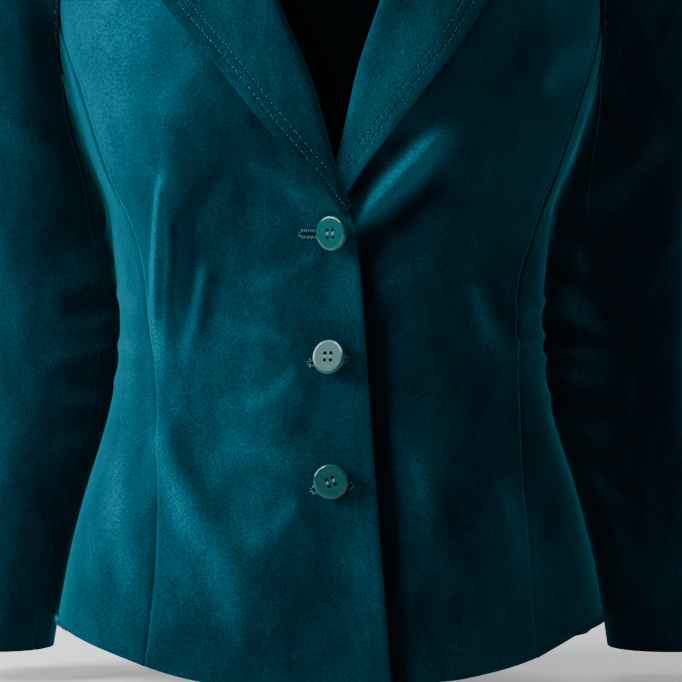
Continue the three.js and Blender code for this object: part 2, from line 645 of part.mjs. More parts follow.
// A sleeve's grid: a column for each armhole point, a row for each step down the arm
function sleeveGrid(side) {
  const sign = side === "right" ? -1 : 1;
  const places = armholePlaces(side);
  const count = places.length - 1;
  const middle = (shoulderDrop + underarmLevel) / 2;
  const armhole = places.map((place) => {
    const point = clothPoint(side, place.angle, place.z);
    point.x *= sign;
    return { point, out: torsoNormal(place.angle, place.z) };
  });
  const loop = armhole.map(({ point, out }, index) => {
    const before = armhole[index === 0 ? count - 1 : index - 1].point;
    const after = armhole[index === count ? 1 : index + 1].point;
    const away = out.clone().cross(after.clone().sub(before)).normalize();
    const under = sleeveStandOff * smooth((-150 - point.z) / 45);
    const turn = Math.atan2(-point.y, point.z - middle) / degrees;
    const clear = seamGap + mix(0.12, 0.3, smooth((point.z + 78) / 20));
    const start = point.clone().addScaledVector(away, clear).addScaledVector(out, under);
    return { point: start, out, turn: (turn + 360) % 360 };
  });
  loop[0].turn = 0;
  loop[count].turn = 360;
  const frontTurn = frontSleeveSeamTurn[side];
  const backTurn = backSleeveSeamTurn[side];
  const evenTurn = (column) => {
    if (column <= frontSeamColumn) return (frontTurn * column) / frontSeamColumn;
    if (column <= backSeamColumn) {
      return mix(frontTurn, backTurn, (column - frontSeamColumn) / (backSeamColumn - frontSeamColumn));
    }
    return mix(backTurn, 360, (column - backSeamColumn) / (count - backSeamColumn));
  };
  const ringPoint = (ring, column) => {
    const settle = smooth(ring / 7);
    const turn = mix(loop[column].turn, evenTurn(column), settle) * degrees;
    const row = sleeveRings[ring - 1];
    const outer = new THREE.Vector3(row.outX, 0, row.outZ);
    const inner = new THREE.Vector3(row.inX, 0, row.inZ);
    const reach = Math.sin(turn) > 0 ? -row.front : row.back;
    const power = 0.94;
    const across = Math.sign(Math.cos(turn)) * Math.abs(Math.cos(turn)) ** power;
    const point = outer.clone().add(inner).multiplyScalar(0.5);
    point.addScaledVector(outer.sub(inner), across / 2);
    point.y = reach * Math.abs(Math.sin(turn)) ** power + row.mid + row.tuck * ((1 - across) / 2) ** 1.5;
    point.x -= 13 * (1 - smooth(ring / 4)) * Math.sin(turn) ** 2;
    return point;
  };
  const columns = loop.map((start, column) => {
    const rings = [start.point, ...sleeveRings.map((_, index) => ringPoint(index + 1, column))];
    const curve = new THREE.CatmullRomCurve3(rings, false, "centripetal");
    return Array.from({ length: sleeveSteps + 1 }, (_, step) => curve.getPoint(step / sleeveSteps));
  });
  const rows = Array.from({ length: sleeveSteps + 1 }, (_, step) => columns.map((column) => column[step]));
  const folded = foldSleeve(rows, evenTurn);
  const outward = folded.map((row, r) =>
    row.map((_, c) => (r ? sleeveNormal(folded, r, c) : loop[c].out.clone())),
  );
  return folded.map((row, r) =>
    row.map((point, c) => {
      const out = outward[r][c];
      return { at: point.setX(point.x * sign), out: out.setX(out.x * sign) };
    }),
  );
}

// The direction out of a closed sleeve grid, whose first and last columns are one
function sleeveNormal(rows, r, c) {
  const count = rows[0].length - 1;
  const before = rows[r][c === 0 ? count - 1 : c - 1];
  const after = rows[r][c === count ? 1 : c + 1];
  const above = rows[Math.max(0, r - 1)][c];
  const below = rows[Math.min(rows.length - 1, r + 1)][c];
  const normal = after.clone().sub(before).cross(above.clone().sub(below)).normalize();
  const middle = rows[r][0].clone().add(rows[r][Math.floor(count / 2)]).multiplyScalar(0.5);
  const away = rows[r][c].clone().sub(middle).setZ(0);
  return normal.dot(away) < 0 ? normal.negate() : normal;
}

// Raises a sleeve's folds along its surface normals, away from the armhole and the body
function foldSleeve(rows, evenTurn) {
  const girthPerDegree = 320 / 360;
  return rows.map((row, r) =>
    row.map((point, c) => {
      const normal = sleeveNormal(rows, r, c);
      const turn = evenTurn(c);
      let height = 0;
      for (const wrap of [-360, 0, 360]) {
        const table = sleeveFolds.map((fold) => ({
          ...fold,
          across1: fold.turn1 * girthPerDegree,
          across2: fold.turn2 * girthPerDegree,
        }));
        const across = (turn + wrap) * girthPerDegree;
        height += foldHeight(table, across, point.z, ["across1", "z1", "across2", "z2"]);
      }
      const nearBody = Math.cos((turn - 180) * degrees) > 0.8 ? 0.35 : 1;
      return point.clone().addScaledVector(normal, height * nearBody * smooth(r / 3));
    }),
  );
}

// Columns of a grid from one to another
const columnsOf = (rows, from, to) => rows.map((row) => row.slice(from, to + 1));

// Nodes for a grid of bare points, with the grid's own normals
function toNodes(rows, outside) {
  const last = rows.length - 1;
  const end = rows[0].length - 1;
  return rows.map((row, r) =>
    row.map((point, c) => {
      const across = row[Math.min(end, c + 1)].clone().sub(row[Math.max(0, c - 1)]);
      const along = rows[Math.min(last, r + 1)][c].clone().sub(rows[Math.max(0, r - 1)][c]);
      return { at: point, out: across.cross(along).normalize().multiplyScalar(outside) };
    }),
  );
}

// Draws in the chosen edges of a grid by half the seam gap
function drawIn(rows, edges) {
  const last = rows.length - 1;
  const end = rows[0].length - 1;
  const drawn = rows.map((row) => row.map((node) => ({ at: node.at.clone(), out: node.out })));
  const pull = (node, from, towards) => {
    node.at.addScaledVector(towards.at.clone().sub(from.at).normalize(), halfGap);
  };
  rows.forEach((row, r) => {
    if (edges.includes("start")) pull(drawn[r][0], row[0], row[1]);
    if (edges.includes("end")) pull(drawn[r][end], row[end], row[end - 1]);
  });
  for (let c = 0; c <= end; c++) {
    if (edges.includes("top")) pull(drawn[last][c], rows[last][c], rows[last - 1][c]);
    if (edges.includes("bottom")) pull(drawn[0][c], rows[0][c], rows[1][c]);
  }
  return drawn;
}

// A closed wall of cloth of even thickness about a grid of nodes. turn is 1 where the columns run
// anticlockwise seen from outside with the rows going up, and -1 where they run the other way.
function clothWall(rows, thickness, turn) {
  const last = rows.length - 1;
  const end = rows[0].length - 1;
  const positions = [];
  const layer = (distance) => {
    const start = positions.length / 3;
    for (const row of rows) {
      for (const node of row) {
        positions.push(...node.at.clone().addScaledVector(node.out, distance).toArray());
      }
    }
    return (r, c) => start + r * (end + 1) + c;
  };
  const outer = layer(thickness / 2);
  const inner = layer(-thickness / 2);
  const faces = [];
  const quad = (a, b, c, d) => {
    if (turn > 0) faces.push(a, b, c, a, c, d);
    else faces.push(a, c, b, a, d, c);
  };
  for (let r = 0; r < last; r++) {
    for (let c = 0; c < end; c++) {
      quad(outer(r, c), outer(r, c + 1), outer(r + 1, c + 1), outer(r + 1, c));
      quad(inner(r, c), inner(r + 1, c), inner(r + 1, c + 1), inner(r, c + 1));
    }
    quad(outer(r, 0), outer(r + 1, 0), inner(r + 1, 0), inner(r, 0));
    quad(outer(r, end), inner(r, end), inner(r + 1, end), outer(r + 1, end));
  }
  for (let c = 0; c < end; c++) {
    quad(outer(0, c), inner(0, c), inner(0, c + 1), outer(0, c + 1));
    quad(outer(last, c), outer(last, c + 1), inner(last, c + 1), inner(last, c));
  }
  const geometry = new THREE.BufferGeometry();
  geometry.setAttribute("position", new THREE.Float32BufferAttribute(positions, 3));
  geometry.setIndex(faces);
  return geometry;
}

// Materials
const velvet = new THREE.MeshStandardMaterial({ color: 0x0b4c5c, roughness: 0.9, metalness: 0 });
const buttonPlastic = new THREE.MeshStandardMaterial({ color: 0x0f5f62, roughness: 0.25, metalness: 0 });

const blazer = new THREE.Group();
blazer.name = "velvet_blazer";

function addMesh(name, geometry, material) {
  const mesh = new THREE.Mesh(geometry, material);
  mesh.name = name;
  blazer.add(mesh);
  return mesh;
}

const addCloth = (name, rows, thickness, turn) => addMesh(name, clothWall(rows, thickness, turn), velvet);

for (const side of ["right", "left"]) {
  const facing = side === "right" ? -1 : 1;
  addCloth(`front_${side}`, drawIn(frontGrid(side), ["end", "top"]), clothThickness, facing);
  addCloth(`side_${side}`, drawIn(sideGrid(side), ["start", "end"]), clothThickness, facing);
  addCloth(`back_${side}`, drawIn(backGrid(side), ["start", "end", "top"]), clothThickness, -facing);
  addCloth(`lapel_${side}`, toNodes(lapelGrid(side), facing), foldedThickness, facing);

  const sleeve = sleeveGrid(side);
  const upperFront = columnsOf(sleeve, 0, frontSeamColumn);
  const upperBack = columnsOf(sleeve, backSeamColumn, sleeve[0].length - 2);
  const upper = upperBack.map((row, r) => [...row, ...upperFront[r]]);
  const under = columnsOf(sleeve, frontSeamColumn, backSeamColumn);
  addCloth(`sleeve_upper_${side}`, drawIn(upper, ["start", "end"]), clothThickness, facing);
  addCloth(`sleeve_under_${side}`, drawIn(under, ["start", "end"]), clothThickness, facing);
}
addCloth("collar", toNodes(collarGrid(), 1), foldedThickness, 1);

// A closed geometry as a solid for cutting, and back again
function toSolid(geometry) {
  const bare = geometry.clone();
  bare.deleteAttribute("normal");
  bare.deleteAttribute("uv");
  const merged = mergeVertices(bare, 1e-4);
  return new wasm.Manifold(
    new wasm.Mesh({
      numProp: 3,
      vertProperties: Float32Array.from(merged.attributes.position.array),
      triVerts: Uint32Array.from(merged.index.array),
    }),
  );
}

function toGeometry(solid) {
  const mesh = solid.getMesh();
  const geometry = new THREE.BufferGeometry();
  geometry.setAttribute("position", new THREE.BufferAttribute(Float32Array.from(mesh.vertProperties), 3));
  geometry.setIndex(Array.from(mesh.triVerts));
  return geometry;
}

// A button's half section, radius and height: flat back and face, rounded rim
const buttonProfile = [
  [0, 0],
  [buttonRadius - 1.8, 0],
  [buttonRadius - 0.5, 0.6],
  [buttonRadius, 1.6],
  [buttonRadius - 0.3, buttonThickness - 0.75],
  [buttonRadius - 1.1, buttonThickness - 0.12],
  [buttonRadius - 2.0, buttonThickness],
  [0, buttonThickness],
];

// A button with its foot on z = 0
function buttonGeometry() {
  const profile = buttonProfile.map(([radius, height]) => new THREE.Vector2(radius, height));
  const disc = new THREE.LatheGeometry(profile, buttonSides).rotateX(Math.PI / 2);
  let solid = toSolid(disc);
  for (const dx of [-1, 1]) {
    for (const dy of [-1, 1]) {
      const hole = new THREE.CylinderGeometry(buttonHoleRadius, buttonHoleRadius, 12, 10);
      hole.rotateX(Math.PI / 2);
      hole.translate(dx * buttonHoleOffset, dy * buttonHoleOffset, 0);
      solid = solid.subtract(toSolid(hole));
    }
  }
  return toGeometry(solid);
}

for (const button of buttons) {
  const mesh = addMesh(button.name, buttonGeometry(), buttonPlastic);
  const out = -button.x; // the right front's own side is -X
  const seat = overFront("right", out, button.z, clothThickness / 2 + buttonSeat);
  const normal = overFront("right", out, button.z, 6).sub(overFront("right", out, button.z, 0)).normalize();
  const turned = new THREE.Matrix4()
    .makeRotationZ(button.turn * degrees)
    .multiply(new THREE.Matrix4().makeRotationX(button.tip * degrees));
  const facing = normal.clone().applyMatrix4(turned).normalize();
  const spinAxis = new THREE.Vector3(0, 0, 1);
  mesh.quaternion.setFromUnitVectors(spinAxis, facing);
  mesh.quaternion.multiply(new THREE.Quaternion().setFromAxisAngle(spinAxis, button.spin * degrees));
  // A tilted button rests on its rim, so its centre stands off by the rim's drop
  const tilt = facing.angleTo(normal);
  const drops = buttonProfile.map(([radius, height]) => radius * Math.sin(tilt) - height * Math.cos(tilt));
  const drop = Math.max(...drops);
  mesh.position.copy(seat).addScaledVector(normal, drop);
}

export default blazer;
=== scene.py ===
import math

import bmesh
import bpy
from mathutils import Matrix, Vector, kdtree, noise
from mathutils.bvhtree import BVHTree


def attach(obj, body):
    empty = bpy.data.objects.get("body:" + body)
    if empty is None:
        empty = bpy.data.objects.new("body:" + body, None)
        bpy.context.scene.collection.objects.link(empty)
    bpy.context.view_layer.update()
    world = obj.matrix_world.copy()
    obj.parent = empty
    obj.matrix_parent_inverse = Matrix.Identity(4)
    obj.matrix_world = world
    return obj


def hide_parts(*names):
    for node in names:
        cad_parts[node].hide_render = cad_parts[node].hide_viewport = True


# Velvet blazer, worn shape, nobody inside. Metres; wearer's left is +X, the front is -Y.
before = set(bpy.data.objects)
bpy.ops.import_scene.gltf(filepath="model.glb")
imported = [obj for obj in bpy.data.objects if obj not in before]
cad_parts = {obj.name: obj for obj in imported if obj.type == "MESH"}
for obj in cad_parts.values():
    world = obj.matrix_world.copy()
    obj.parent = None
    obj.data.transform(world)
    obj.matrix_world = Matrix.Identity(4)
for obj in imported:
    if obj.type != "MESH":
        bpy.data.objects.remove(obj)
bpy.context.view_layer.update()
print("frame loaded")

mm = 0.001


def smooth(value):
    v = min(1.0, max(0.0, value))
    return v * v * (3 - 2 * v)


def mixed(a, b, share):
    return a + (b - a) * share


# Small helpers for the shaders
def link(tree, fromSocket, toSocket):
    tree.links.new(fromSocket, toSocket)


def mathNode(tree, operation, a, b=None, clamp=False):
    node = tree.nodes.new("ShaderNodeMath")
    node.operation = operation
    node.use_clamp = clamp
    for slot, value in ((0, a), (1, b)):
        if value is None:
            continue
        if isinstance(value, (int, float)):
            node.inputs[slot].default_value = value
        else:
            link(tree, value, node.inputs[slot])
    return node.outputs[0]


def rampNode(tree, factor, stops):
    node = tree.nodes.new("ShaderNodeValToRGB")
    ramp = node.color_ramp
    ramp.elements[0].position, ramp.elements[0].color = stops[0]
    ramp.elements[1].position, ramp.elements[1].color = stops[-1]
    for position, colour in stops[1:-1]:
        ramp.elements.new(position).color = colour
    link(tree, factor, node.inputs["Fac"])
    return node.outputs["Color"]


def mixColour(tree, factor, a, b, blend="MIX"):
    node = tree.nodes.new("ShaderNodeMix")
    node.data_type = "RGBA"
    node.blend_type = blend
    for slot, value in ((0, factor), (6, a), (7, b)):
        if isinstance(value, (int, float, tuple)):
            node.inputs[slot].default_value = value
        else:
            link(tree, value, node.inputs[slot])
    return node.outputs[2]


def newGroup(name, inputs, outputs):
    group = bpy.data.node_groups.new(name, "ShaderNodeTree")
    for label, kind, value in inputs:
        socket = group.interface.new_socket(name=label, in_out="INPUT", socket_type=kind)
        if value is not None:
            socket.default_value = value
    for label, kind in outputs:
        group.interface.new_socket(name=label, in_out="OUTPUT", socket_type=kind)
    return group, group.nodes.new("NodeGroupInput"), group.nodes.new("NodeGroupOutput")


# Brushed pile: broad strokes where the nap was stroked one way or the other, finer smudges,
# and the pile itself
def napGroup():
    group, start, end = newGroup(
        "nap",
        [("Stroke Size", "NodeSocketFloat", 12.0), ("Smudge Size", "NodeSocketFloat", 60.0)],
        [(label, "NodeSocketFloat") for label in ("Strokes", "Pile", "Height")],
    )
    coords = group.nodes.new("ShaderNodeTexCoord")
    lean = group.nodes.new("ShaderNodeMapping")
    lean.inputs["Rotation"].default_value = (0.0, 0.5, 0.35)
    lean.inputs["Scale"].default_value = (1.3, 1.1, 0.72)
    link(group, coords.outputs["Object"], lean.inputs["Vector"])
    broad = group.nodes.new("ShaderNodeTexNoise")
    broad.inputs["Detail"].default_value = 2.5
    broad.inputs["Roughness"].default_value = 0.5
    broad.inputs["Distortion"].default_value = 0.6
    link(group, lean.outputs["Vector"], broad.inputs["Vector"])
    link(group, start.outputs["Stroke Size"], broad.inputs["Scale"])
    smudge = group.nodes.new("ShaderNodeTexNoise")
    smudge.inputs["Detail"].default_value = 3.0
    smudge.inputs["Roughness"].default_value = 0.55
    link(group, lean.outputs["Vector"], smudge.inputs["Vector"])
    link(group, start.outputs["Smudge Size"], smudge.inputs["Scale"])
    pile = group.nodes.new("ShaderNodeTexNoise")
    pile.inputs["Scale"].default_value = 760.0
    pile.inputs["Detail"].default_value = 3.5
    link(group, coords.outputs["Object"], pile.inputs["Vector"])
    strokes = mathNode(group, "ADD", mathNode(group, "MULTIPLY", broad.outputs["Fac"], 0.55),
                       mathNode(group, "MULTIPLY", smudge.outputs["Fac"], 0.45))
    link(group, strokes, end.inputs["Strokes"])
    link(group, pile.outputs["Fac"], end.inputs["Pile"])
    height = mathNode(group, "ADD", mathNode(group, "MULTIPLY", strokes, 1.7),
                      mathNode(group, "MULTIPLY", pile.outputs["Fac"], 0.1))
    link(group, height, end.inputs["Height"])
    return group


nap = napGroup()

velvetLook = {
    "deep": (0.0002, 0.007, 0.0125, 1),
    "brushed": (0.0004, 0.028, 0.043, 1),
    "light": (0.0009, 0.085, 0.125, 1),
    # edge: painted sheen, the lighter teal that the base colour turns to where the cloth is seen at a
    # grazing angle
    "edge": (0.0005, 0.05, 0.074, 1),
    "sheen": (0.012, 0.60, 0.80, 1),
    "sheenWeight": 0.66,
    "sheenRoughness": 0.33,
    "bodyStrokes": 9.0,  # size of the brushed strokes, as a noise scale
    "collarStrokes": 13.0,
    "byChance": 0.95,  # how much the pile's own random strokes count, and the patches that are partly the nap's uneven tone and partly painted light and shade
    "napAndLightShare": 0.42,
    "darker": 0.14,
    "bump": 1.6 * mm,
}


def velvetMaterial(name, strokeSize):
    material = bpy.data.materials.new(name)
    material.use_nodes = True
    tree = material.node_tree
    shader = tree.nodes["Principled BSDF"]
    pileNap = tree.nodes.new("ShaderNodeGroup")
    pileNap.node_tree = nap
    pileNap.inputs["Stroke Size"].default_value = strokeSize
    pileNap.inputs["Smudge Size"].default_value = strokeSize * 5.5
    # lighter or darker where the sheet's own attribute says so (partly the nap's uneven tone, partly
    # painted light and shade), and unevenly everywhere
    napAndLightNode = tree.nodes.new("ShaderNodeAttribute")
    napAndLightNode.attribute_name = "pileAndPaintedLight"
    byChance = mathNode(tree, "MULTIPLY", pileNap.outputs["Strokes"], velvetLook["byChance"])
    napAndLightShare = mathNode(tree, "MULTIPLY", napAndLightNode.outputs["Fac"], velvetLook["napAndLightShare"])
    spread = mathNode(tree, "ADD", byChance, napAndLightShare)
    spread = mathNode(tree, "SUBTRACT", spread, velvetLook["darker"], clamp=True)
    ground = rampNode(tree, spread, [
        (0.0, velvetLook["deep"]), (0.38, velvetLook["brushed"]), (1.0, velvetLook["light"])])
    # Painted sheen: the base colour turns towards the lighter edge teal where the cloth is seen at a
    # grazing angle, on top of the shader's own sheen
    facing = tree.nodes.new("ShaderNodeLayerWeight")
    facing.inputs["Blend"].default_value = 0.42
    grazingPaintedSheen = mathNode(tree, "POWER", facing.outputs["Facing"], 2.2, clamp=True)
    shade = mixColour(tree, grazingPaintedSheen, ground, velvetLook["edge"])
    speckle = rampNode(tree, pileNap.outputs["Pile"], [
        (0.3, (0.6, 0.6, 0.6, 1)), (0.7, (1.4, 1.4, 1.4, 1))])
    link(tree, mixColour(tree, 1.0, shade, speckle, "MULTIPLY"), shader.inputs["Base Color"])
    shader.inputs["Roughness"].default_value = 0.82
    shader.inputs["Specular IOR Level"].default_value = 0.0
    shader.inputs["Sheen Weight"].default_value = velvetLook["sheenWeight"]
    shader.inputs["Sheen Roughness"].default_value = velvetLook["sheenRoughness"]
    shader.inputs["Sheen Tint"].default_value = velvetLook["sheen"]
    bump = tree.nodes.new("ShaderNodeBump")
    bump.inputs["Strength"].default_value = 0.55
    bump.inputs["Distance"].default_value = velvetLook["bump"]
    link(tree, pileNap.outputs["Height"], bump.inputs["Height"])
    link(tree, bump.outputs["Normal"], shader.inputs["Normal"])
    return material


# The reverse of the velvet: a close plain weave, dull
def reverseMaterial():
    material = bpy.data.materials.new("velvetReverse")
    material.use_nodes = True
    tree = material.node_tree
    shader = tree.nodes["Principled BSDF"]
    uv = tree.nodes.new("ShaderNodeUVMap")
    uv.uv_map = "cloth"
    warp = tree.nodes.new("ShaderNodeTexWave")
    warp.bands_direction = "X"
    warp.inputs["Scale"].default_value = 620.0
    weft = tree.nodes.new("ShaderNodeTexWave")
    weft.bands_direction = "Y"
    weft.inputs["Scale"].default_value = 560.0
    for wave in (warp, weft):
        wave.inputs["Distortion"].default_value = 0.6
        link(tree, uv.outputs["UV"], wave.inputs["Vector"])
    weave = mathNode(tree, "MULTIPLY", warp.outputs["Fac"], weft.outputs["Fac"])
    shade = rampNode(tree, weave, [
        (0.0, (0.0012, 0.016, 0.022, 1)), (1.0, (0.005, 0.052, 0.066, 1))])
    link(tree, shade, shader.inputs["Base Color"])
    shader.inputs["Roughness"].default_value = 0.9
    shader.inputs["Specular IOR Level"].default_value = 0.15
    bump = tree.nodes.new("ShaderNodeBump")
    bump.inputs["Strength"].default_value = 0.4
    bump.inputs["Distance"].default_value = 0.2 * mm
    link(tree, weave, bump.inputs["Height"])
    link(tree, bump.outputs["Normal"], shader.inputs["Normal"])
    return material


def threadMaterial(name, dark, light):
    material = bpy.data.materials.new(name)
    material.use_nodes = True
    tree = material.node_tree
    shader = tree.nodes["Principled BSDF"]
    coords = tree.nodes.new("ShaderNodeTexCoord")
    strands = tree.nodes.new("ShaderNodeTexNoise")
    strands.inputs["Scale"].default_value = 2600.0
    link(tree, coords.outputs["Object"], strands.inputs["Vector"])
    link(tree, rampNode(tree, strands.outputs["Fac"], [(0.35, dark), (0.65, light)]),
         shader.inputs["Base Color"])
    shader.inputs["Roughness"].default_value = 0.5
    shader.inputs["Sheen Weight"].default_value = 0.3
    return material


def buttonMaterial():
    material = bpy.data.materials.new("buttonGloss")
    material.use_nodes = True
    tree = material.node_tree
    shader = tree.nodes["Principled BSDF"]
    coords = tree.nodes.new("ShaderNodeTexCoord")
    swirl = tree.nodes.new("ShaderNodeTexNoise")
    swirl.inputs["Scale"].default_value = 120.0
    swirl.inputs["Detail"].default_value = 3.0
    swirl.inputs["Distortion"].default_value = 1.4
    link(tree, coords.outputs["Object"], swirl.inputs["Vector"])
    link(tree, rampNode(tree, swirl.outputs["Fac"], [
        (0.3, (0.0001, 0.045, 0.047, 1)), (0.7, (0.0002, 0.054, 0.056, 1))]),
         shader.inputs["Base Color"])
    wear = tree.nodes.new("ShaderNodeTexNoise")
    wear.inputs["Scale"].default_value = 900.0
    wear.inputs["Detail"].default_value = 4.0
    link(tree, coords.outputs["Object"], wear.inputs["Vector"])
    gloss = tree.nodes.new("ShaderNodeMapRange")
    gloss.inputs["From Min"].default_value = 0.3
    gloss.inputs["From Max"].default_value = 0.75
    gloss.inputs["To Min"].default_value = 0.07
    gloss.inputs["To Max"].default_value = 0.12
    link(tree, wear.outputs["Fac"], gloss.inputs["Value"])
    link(tree, gloss.outputs["Result"], shader.inputs["Roughness"])
    shader.inputs["Specular IOR Level"].default_value = 0.32
    return material


velvet = velvetMaterial("velvet", velvetLook["bodyStrokes"])
velvetCollar = velvetMaterial("velvetCollar", velvetLook["collarStrokes"])
reverse = reverseMaterial()
topThread = threadMaterial("topThread", (0.001, 0.034, 0.044, 1), (0.004, 0.085, 0.102, 1))
holeThread = threadMaterial("holeThread", (0.006, 0.09, 0.105, 1), (0.035, 0.24, 0.26, 1))
button = buttonMaterial()
print("materials made")


def newObject(name, bm):
    mesh = bpy.data.meshes.new(name)
    bm.to_mesh(mesh)
    bm.free()
    made = bpy.data.objects.new(name, mesh)
    bpy.context.scene.collection.objects.link(made)
    return made


# The outer face of a CAD wall, as a clean grid: corners[row][column], row 0 lowest.
# A wall's rim faces hold an edge that runs straight through the cloth.
def outerGrid(nodeName, thickness, columns):
    bm = bmesh.new()
    bm.from_mesh(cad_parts[nodeName].data)
    bm.verts.layers.float.new("crease_vert")  # read by Subdivision Surface; layOut fills it in
    bmesh.ops.remove_doubles(bm, verts=bm.verts, dist=0.003 * mm)
    through = {e for e in bm.edges if abs(e.calc_length() - thickness) < 0.01 * mm}
    waiting = {f for f in bm.faces if not any(e in through for e in f.edges)}
    layers = []
    while waiting:
        stack = [waiting.pop()]
        layer = list(stack)
        while stack:
            face = stack.pop()
            for edge in face.edges:
                for other in edge.link_faces:
                    if other in waiting:
                        waiting.remove(other)
                        layer.append(other)
                        stack.append(other)
        layers.append(layer)
    layers.sort(key=lambda faces: sum(f.calc_area() for f in faces), reverse=True)
    outer = set(layers[0])
    bmesh.ops.delete(bm, geom=[f for f in bm.faces if f not in outer], context="FACES")
    rimNext = {}
    for vert in bm.verts:
        if vert.is_boundary:
            rimNext[vert] = [e.other_vert(vert) for e in vert.link_edges if e.is_boundary]
    corners = [v for v in rimNext if len(v.link_edges) == 2]
    chosen = None
    for corner in corners:
        for step in rimNext[corner]:
            walk = [corner, step]
            while len(walk[-1].link_edges) > 3:
                walk.append(next(v for v in rimNext[walk[-1]] if v is not walk[-2]))
            if len(walk) == columns + 1:
                other = next(v for v in rimNext[corner] if v is not step)
                side = [corner, other]
                while len(side[-1].link_edges) > 3:
                    side.append(next(v for v in rimNext[side[-1]] if v is not side[-2]))
                rises = side[-1].co.z - side[0].co.z
                if chosen is None or rises > chosen[2]:
                    chosen = (walk, side, rises)
    bottom, side, _ = chosen
    grid = [list(reversed(bottom))]
    for row in range(len(side) - 1):
        below = grid[row]
        above = [side[row + 1]]
        for column in range(columns - 1, -1, -1):
            edge = next(e for e in below[column].link_edges
                        if e.other_vert(below[column]) is above[0])
            above.insert(0, next(v for f in edge.link_faces for v in f.verts
                                 if v not in edge.verts and v is not below[column + 1]))
        grid.append(above)
    diagonals = [e for row in range(len(side) - 1) for column in range(columns)
                 for e in grid[row][column].link_edges
                 if e.other_vert(grid[row][column]) is grid[row + 1][column + 1]]
    bmesh.ops.dissolve_edges(bm, edges=diagonals, use_verts=False)
    return bm, grid


# Lays out the cloth's own measure on the grid: metres across and up, and each point's share of the
# way across and up. Pins the four corners, so that the finer mesh doesn't round them.
def layOut(bm, grid):
    cloth = bm.loops.layers.uv.new("cloth")
    place = bm.loops.layers.uv.new("place")
    rows, columns = len(grid) - 1, len(grid[0]) - 1
    measure = {}
    for r in range(rows + 1):
        along = 0.0
        for c in range(columns + 1):
            if c:
                along += (grid[r][c].co - grid[r][c - 1].co).length
            measure[grid[r][c]] = [along, 0.0, c / columns, r / rows]
    for c in range(columns + 1):
        rise = 0.0
        for r in range(rows + 1):
            if r:
                rise += (grid[r][c].co - grid[r - 1][c].co).length
            measure[grid[r][c]][1] = rise
    for face in bm.faces:
        for loop in face.loops:
            along, rise, share, climb = measure[loop.vert]
            loop[cloth].uv = (along, rise)
            loop[place].uv = (share, climb)
    pinned = bm.verts.layers.float["crease_vert"]
    for corner in (grid[0][0], grid[0][-1], grid[-1][0], grid[-1][-1]):
        corner[pinned] = 1.0


# A sheet's mesh, finer by levels, its outline kept
def finerMesh(bm, name, levels):
    piece = newObject(name, bm)
    smoothing = piece.modifiers.new("finer", "SUBSURF")
    smoothing.levels = smoothing.render_levels = levels
    smoothing.boundary_smooth = "PRESERVE_CORNERS"
    applyModifiers(piece)
    return piece


def applyModifiers(piece):
    depsgraph = bpy.context.evaluated_depsgraph_get()
    finished = bpy.data.meshes.new_from_object(piece.evaluated_get(depsgraph), depsgraph=depsgraph)
    piece.modifiers.clear()
    old = piece.data
    piece.data = finished
    bpy.data.meshes.remove(old)


def treeOf(points):
    tree = kdtree.KDTree(len(points))
    for index, point in enumerate(points):
        tree.insert(point, index)
    tree.balance()
    return tree


def sideTrees(bm, sides):
    place = bm.loops.layers.uv["place"]
    tests = {
        "start": lambda uv: uv.x < 0.0005,
        "end": lambda uv: uv.x > 0.9995,
        "bottom": lambda uv: uv.y < 0.0005,
        "top": lambda uv: uv.y > 0.9995,
    }
    found = {side: [] for side in sides}
    for vert in bm.verts:
        if not vert.is_boundary:
            continue
        uv = vert.link_loops[0][place].uv
        for side in sides:
            if tests[side](uv):
                found[side].append(vert.co.copy())
    return {side: treeOf(points) for side, points in found.items()}


# Splits the edges near a line, so that a narrow groove has mesh to stand on
def finerNear(bm, tree, reach, cuts):
    near = set()
    for vert in bm.verts:
        if tree.find(vert.co)[2] < reach:
            near.add(vert)
    edges = [e for e in bm.edges if e.verts[0] in near and e.verts[1] in near]
    bmesh.ops.subdivide_edges(bm, edges=edges, cuts=cuts, use_grid_fill=True)


# Ridges, and troughs where the height is negative, on a flat map of the cloth in millimetres:
# both ends, bow, height, width. A crease widens and fades towards its second end.
def creaseHeight(creases, across, up):
    total = 0.0
    for a1, b1, a2, b2, bow, height, width in creases:
        da, db = a2 - a1, b2 - b1
        length = math.hypot(da, db)
        t = ((across - a1) * da + (up - b1) * db) / length ** 2
        if t < -0.1 or t > 1.1:
            continue
        off = ((across - a1) * db - (up - b1) * da) / length - bow * 4 * t * (1 - t)
        spread = width * (0.8 + 0.5 * t)
        if abs(off) > 2.6 * spread:
            continue
        taper = smooth(t * 5 + 0.35) * smooth((1 - t) * 2.6 + 0.05)
        total += height * taper * math.exp(-(off / spread) ** 2)
    return total


# How much lighter the pile is made at a point of the map, or darker below zero: partly the nap's own
# uneven tone, partly painted light and shade
def brushed(patches, across, up):
    total = 0.0
    for a, b, wide, high, turn, strength in patches:
        c, s = math.cos(math.radians(turn)), math.sin(math.radians(turn))
        u = ((across - a) * c + (up - b) * s) / wide
        v = ((up - b) * c - (across - a) * s) / high
        reach = u * u + v * v
        if reach < 6:
            total += strength * math.exp(-reach)
    return total


# Writes the patches and the crease heights into the cloth's colour attribute: painted light and shade,
# with some of the nap's own uneven tone
def paintPileAndLight(piece, patches, creases):
    values = []
    for vert in piece.data.vertices:
        value = brushed(patches, vert.co.x / mm, vert.co.z / mm)
        if creases:
            # painted highlight along fold crests and painted shade in the troughs, from the crease
            # height
            value += 0.34 * creases(vert.co)
        values.append(value)
    layer = piece.data.attributes.new("pileAndPaintedLight", "FLOAT", "POINT")
    layer.data.foreach_set("value", values)


# Depth, width and reach of a seam's dip in mm, and how far the edges pass each other
seamShape = {"sunk": 0.95, "narrow": 1.4, "reach": 16, "overlap": 0.42 * mm}


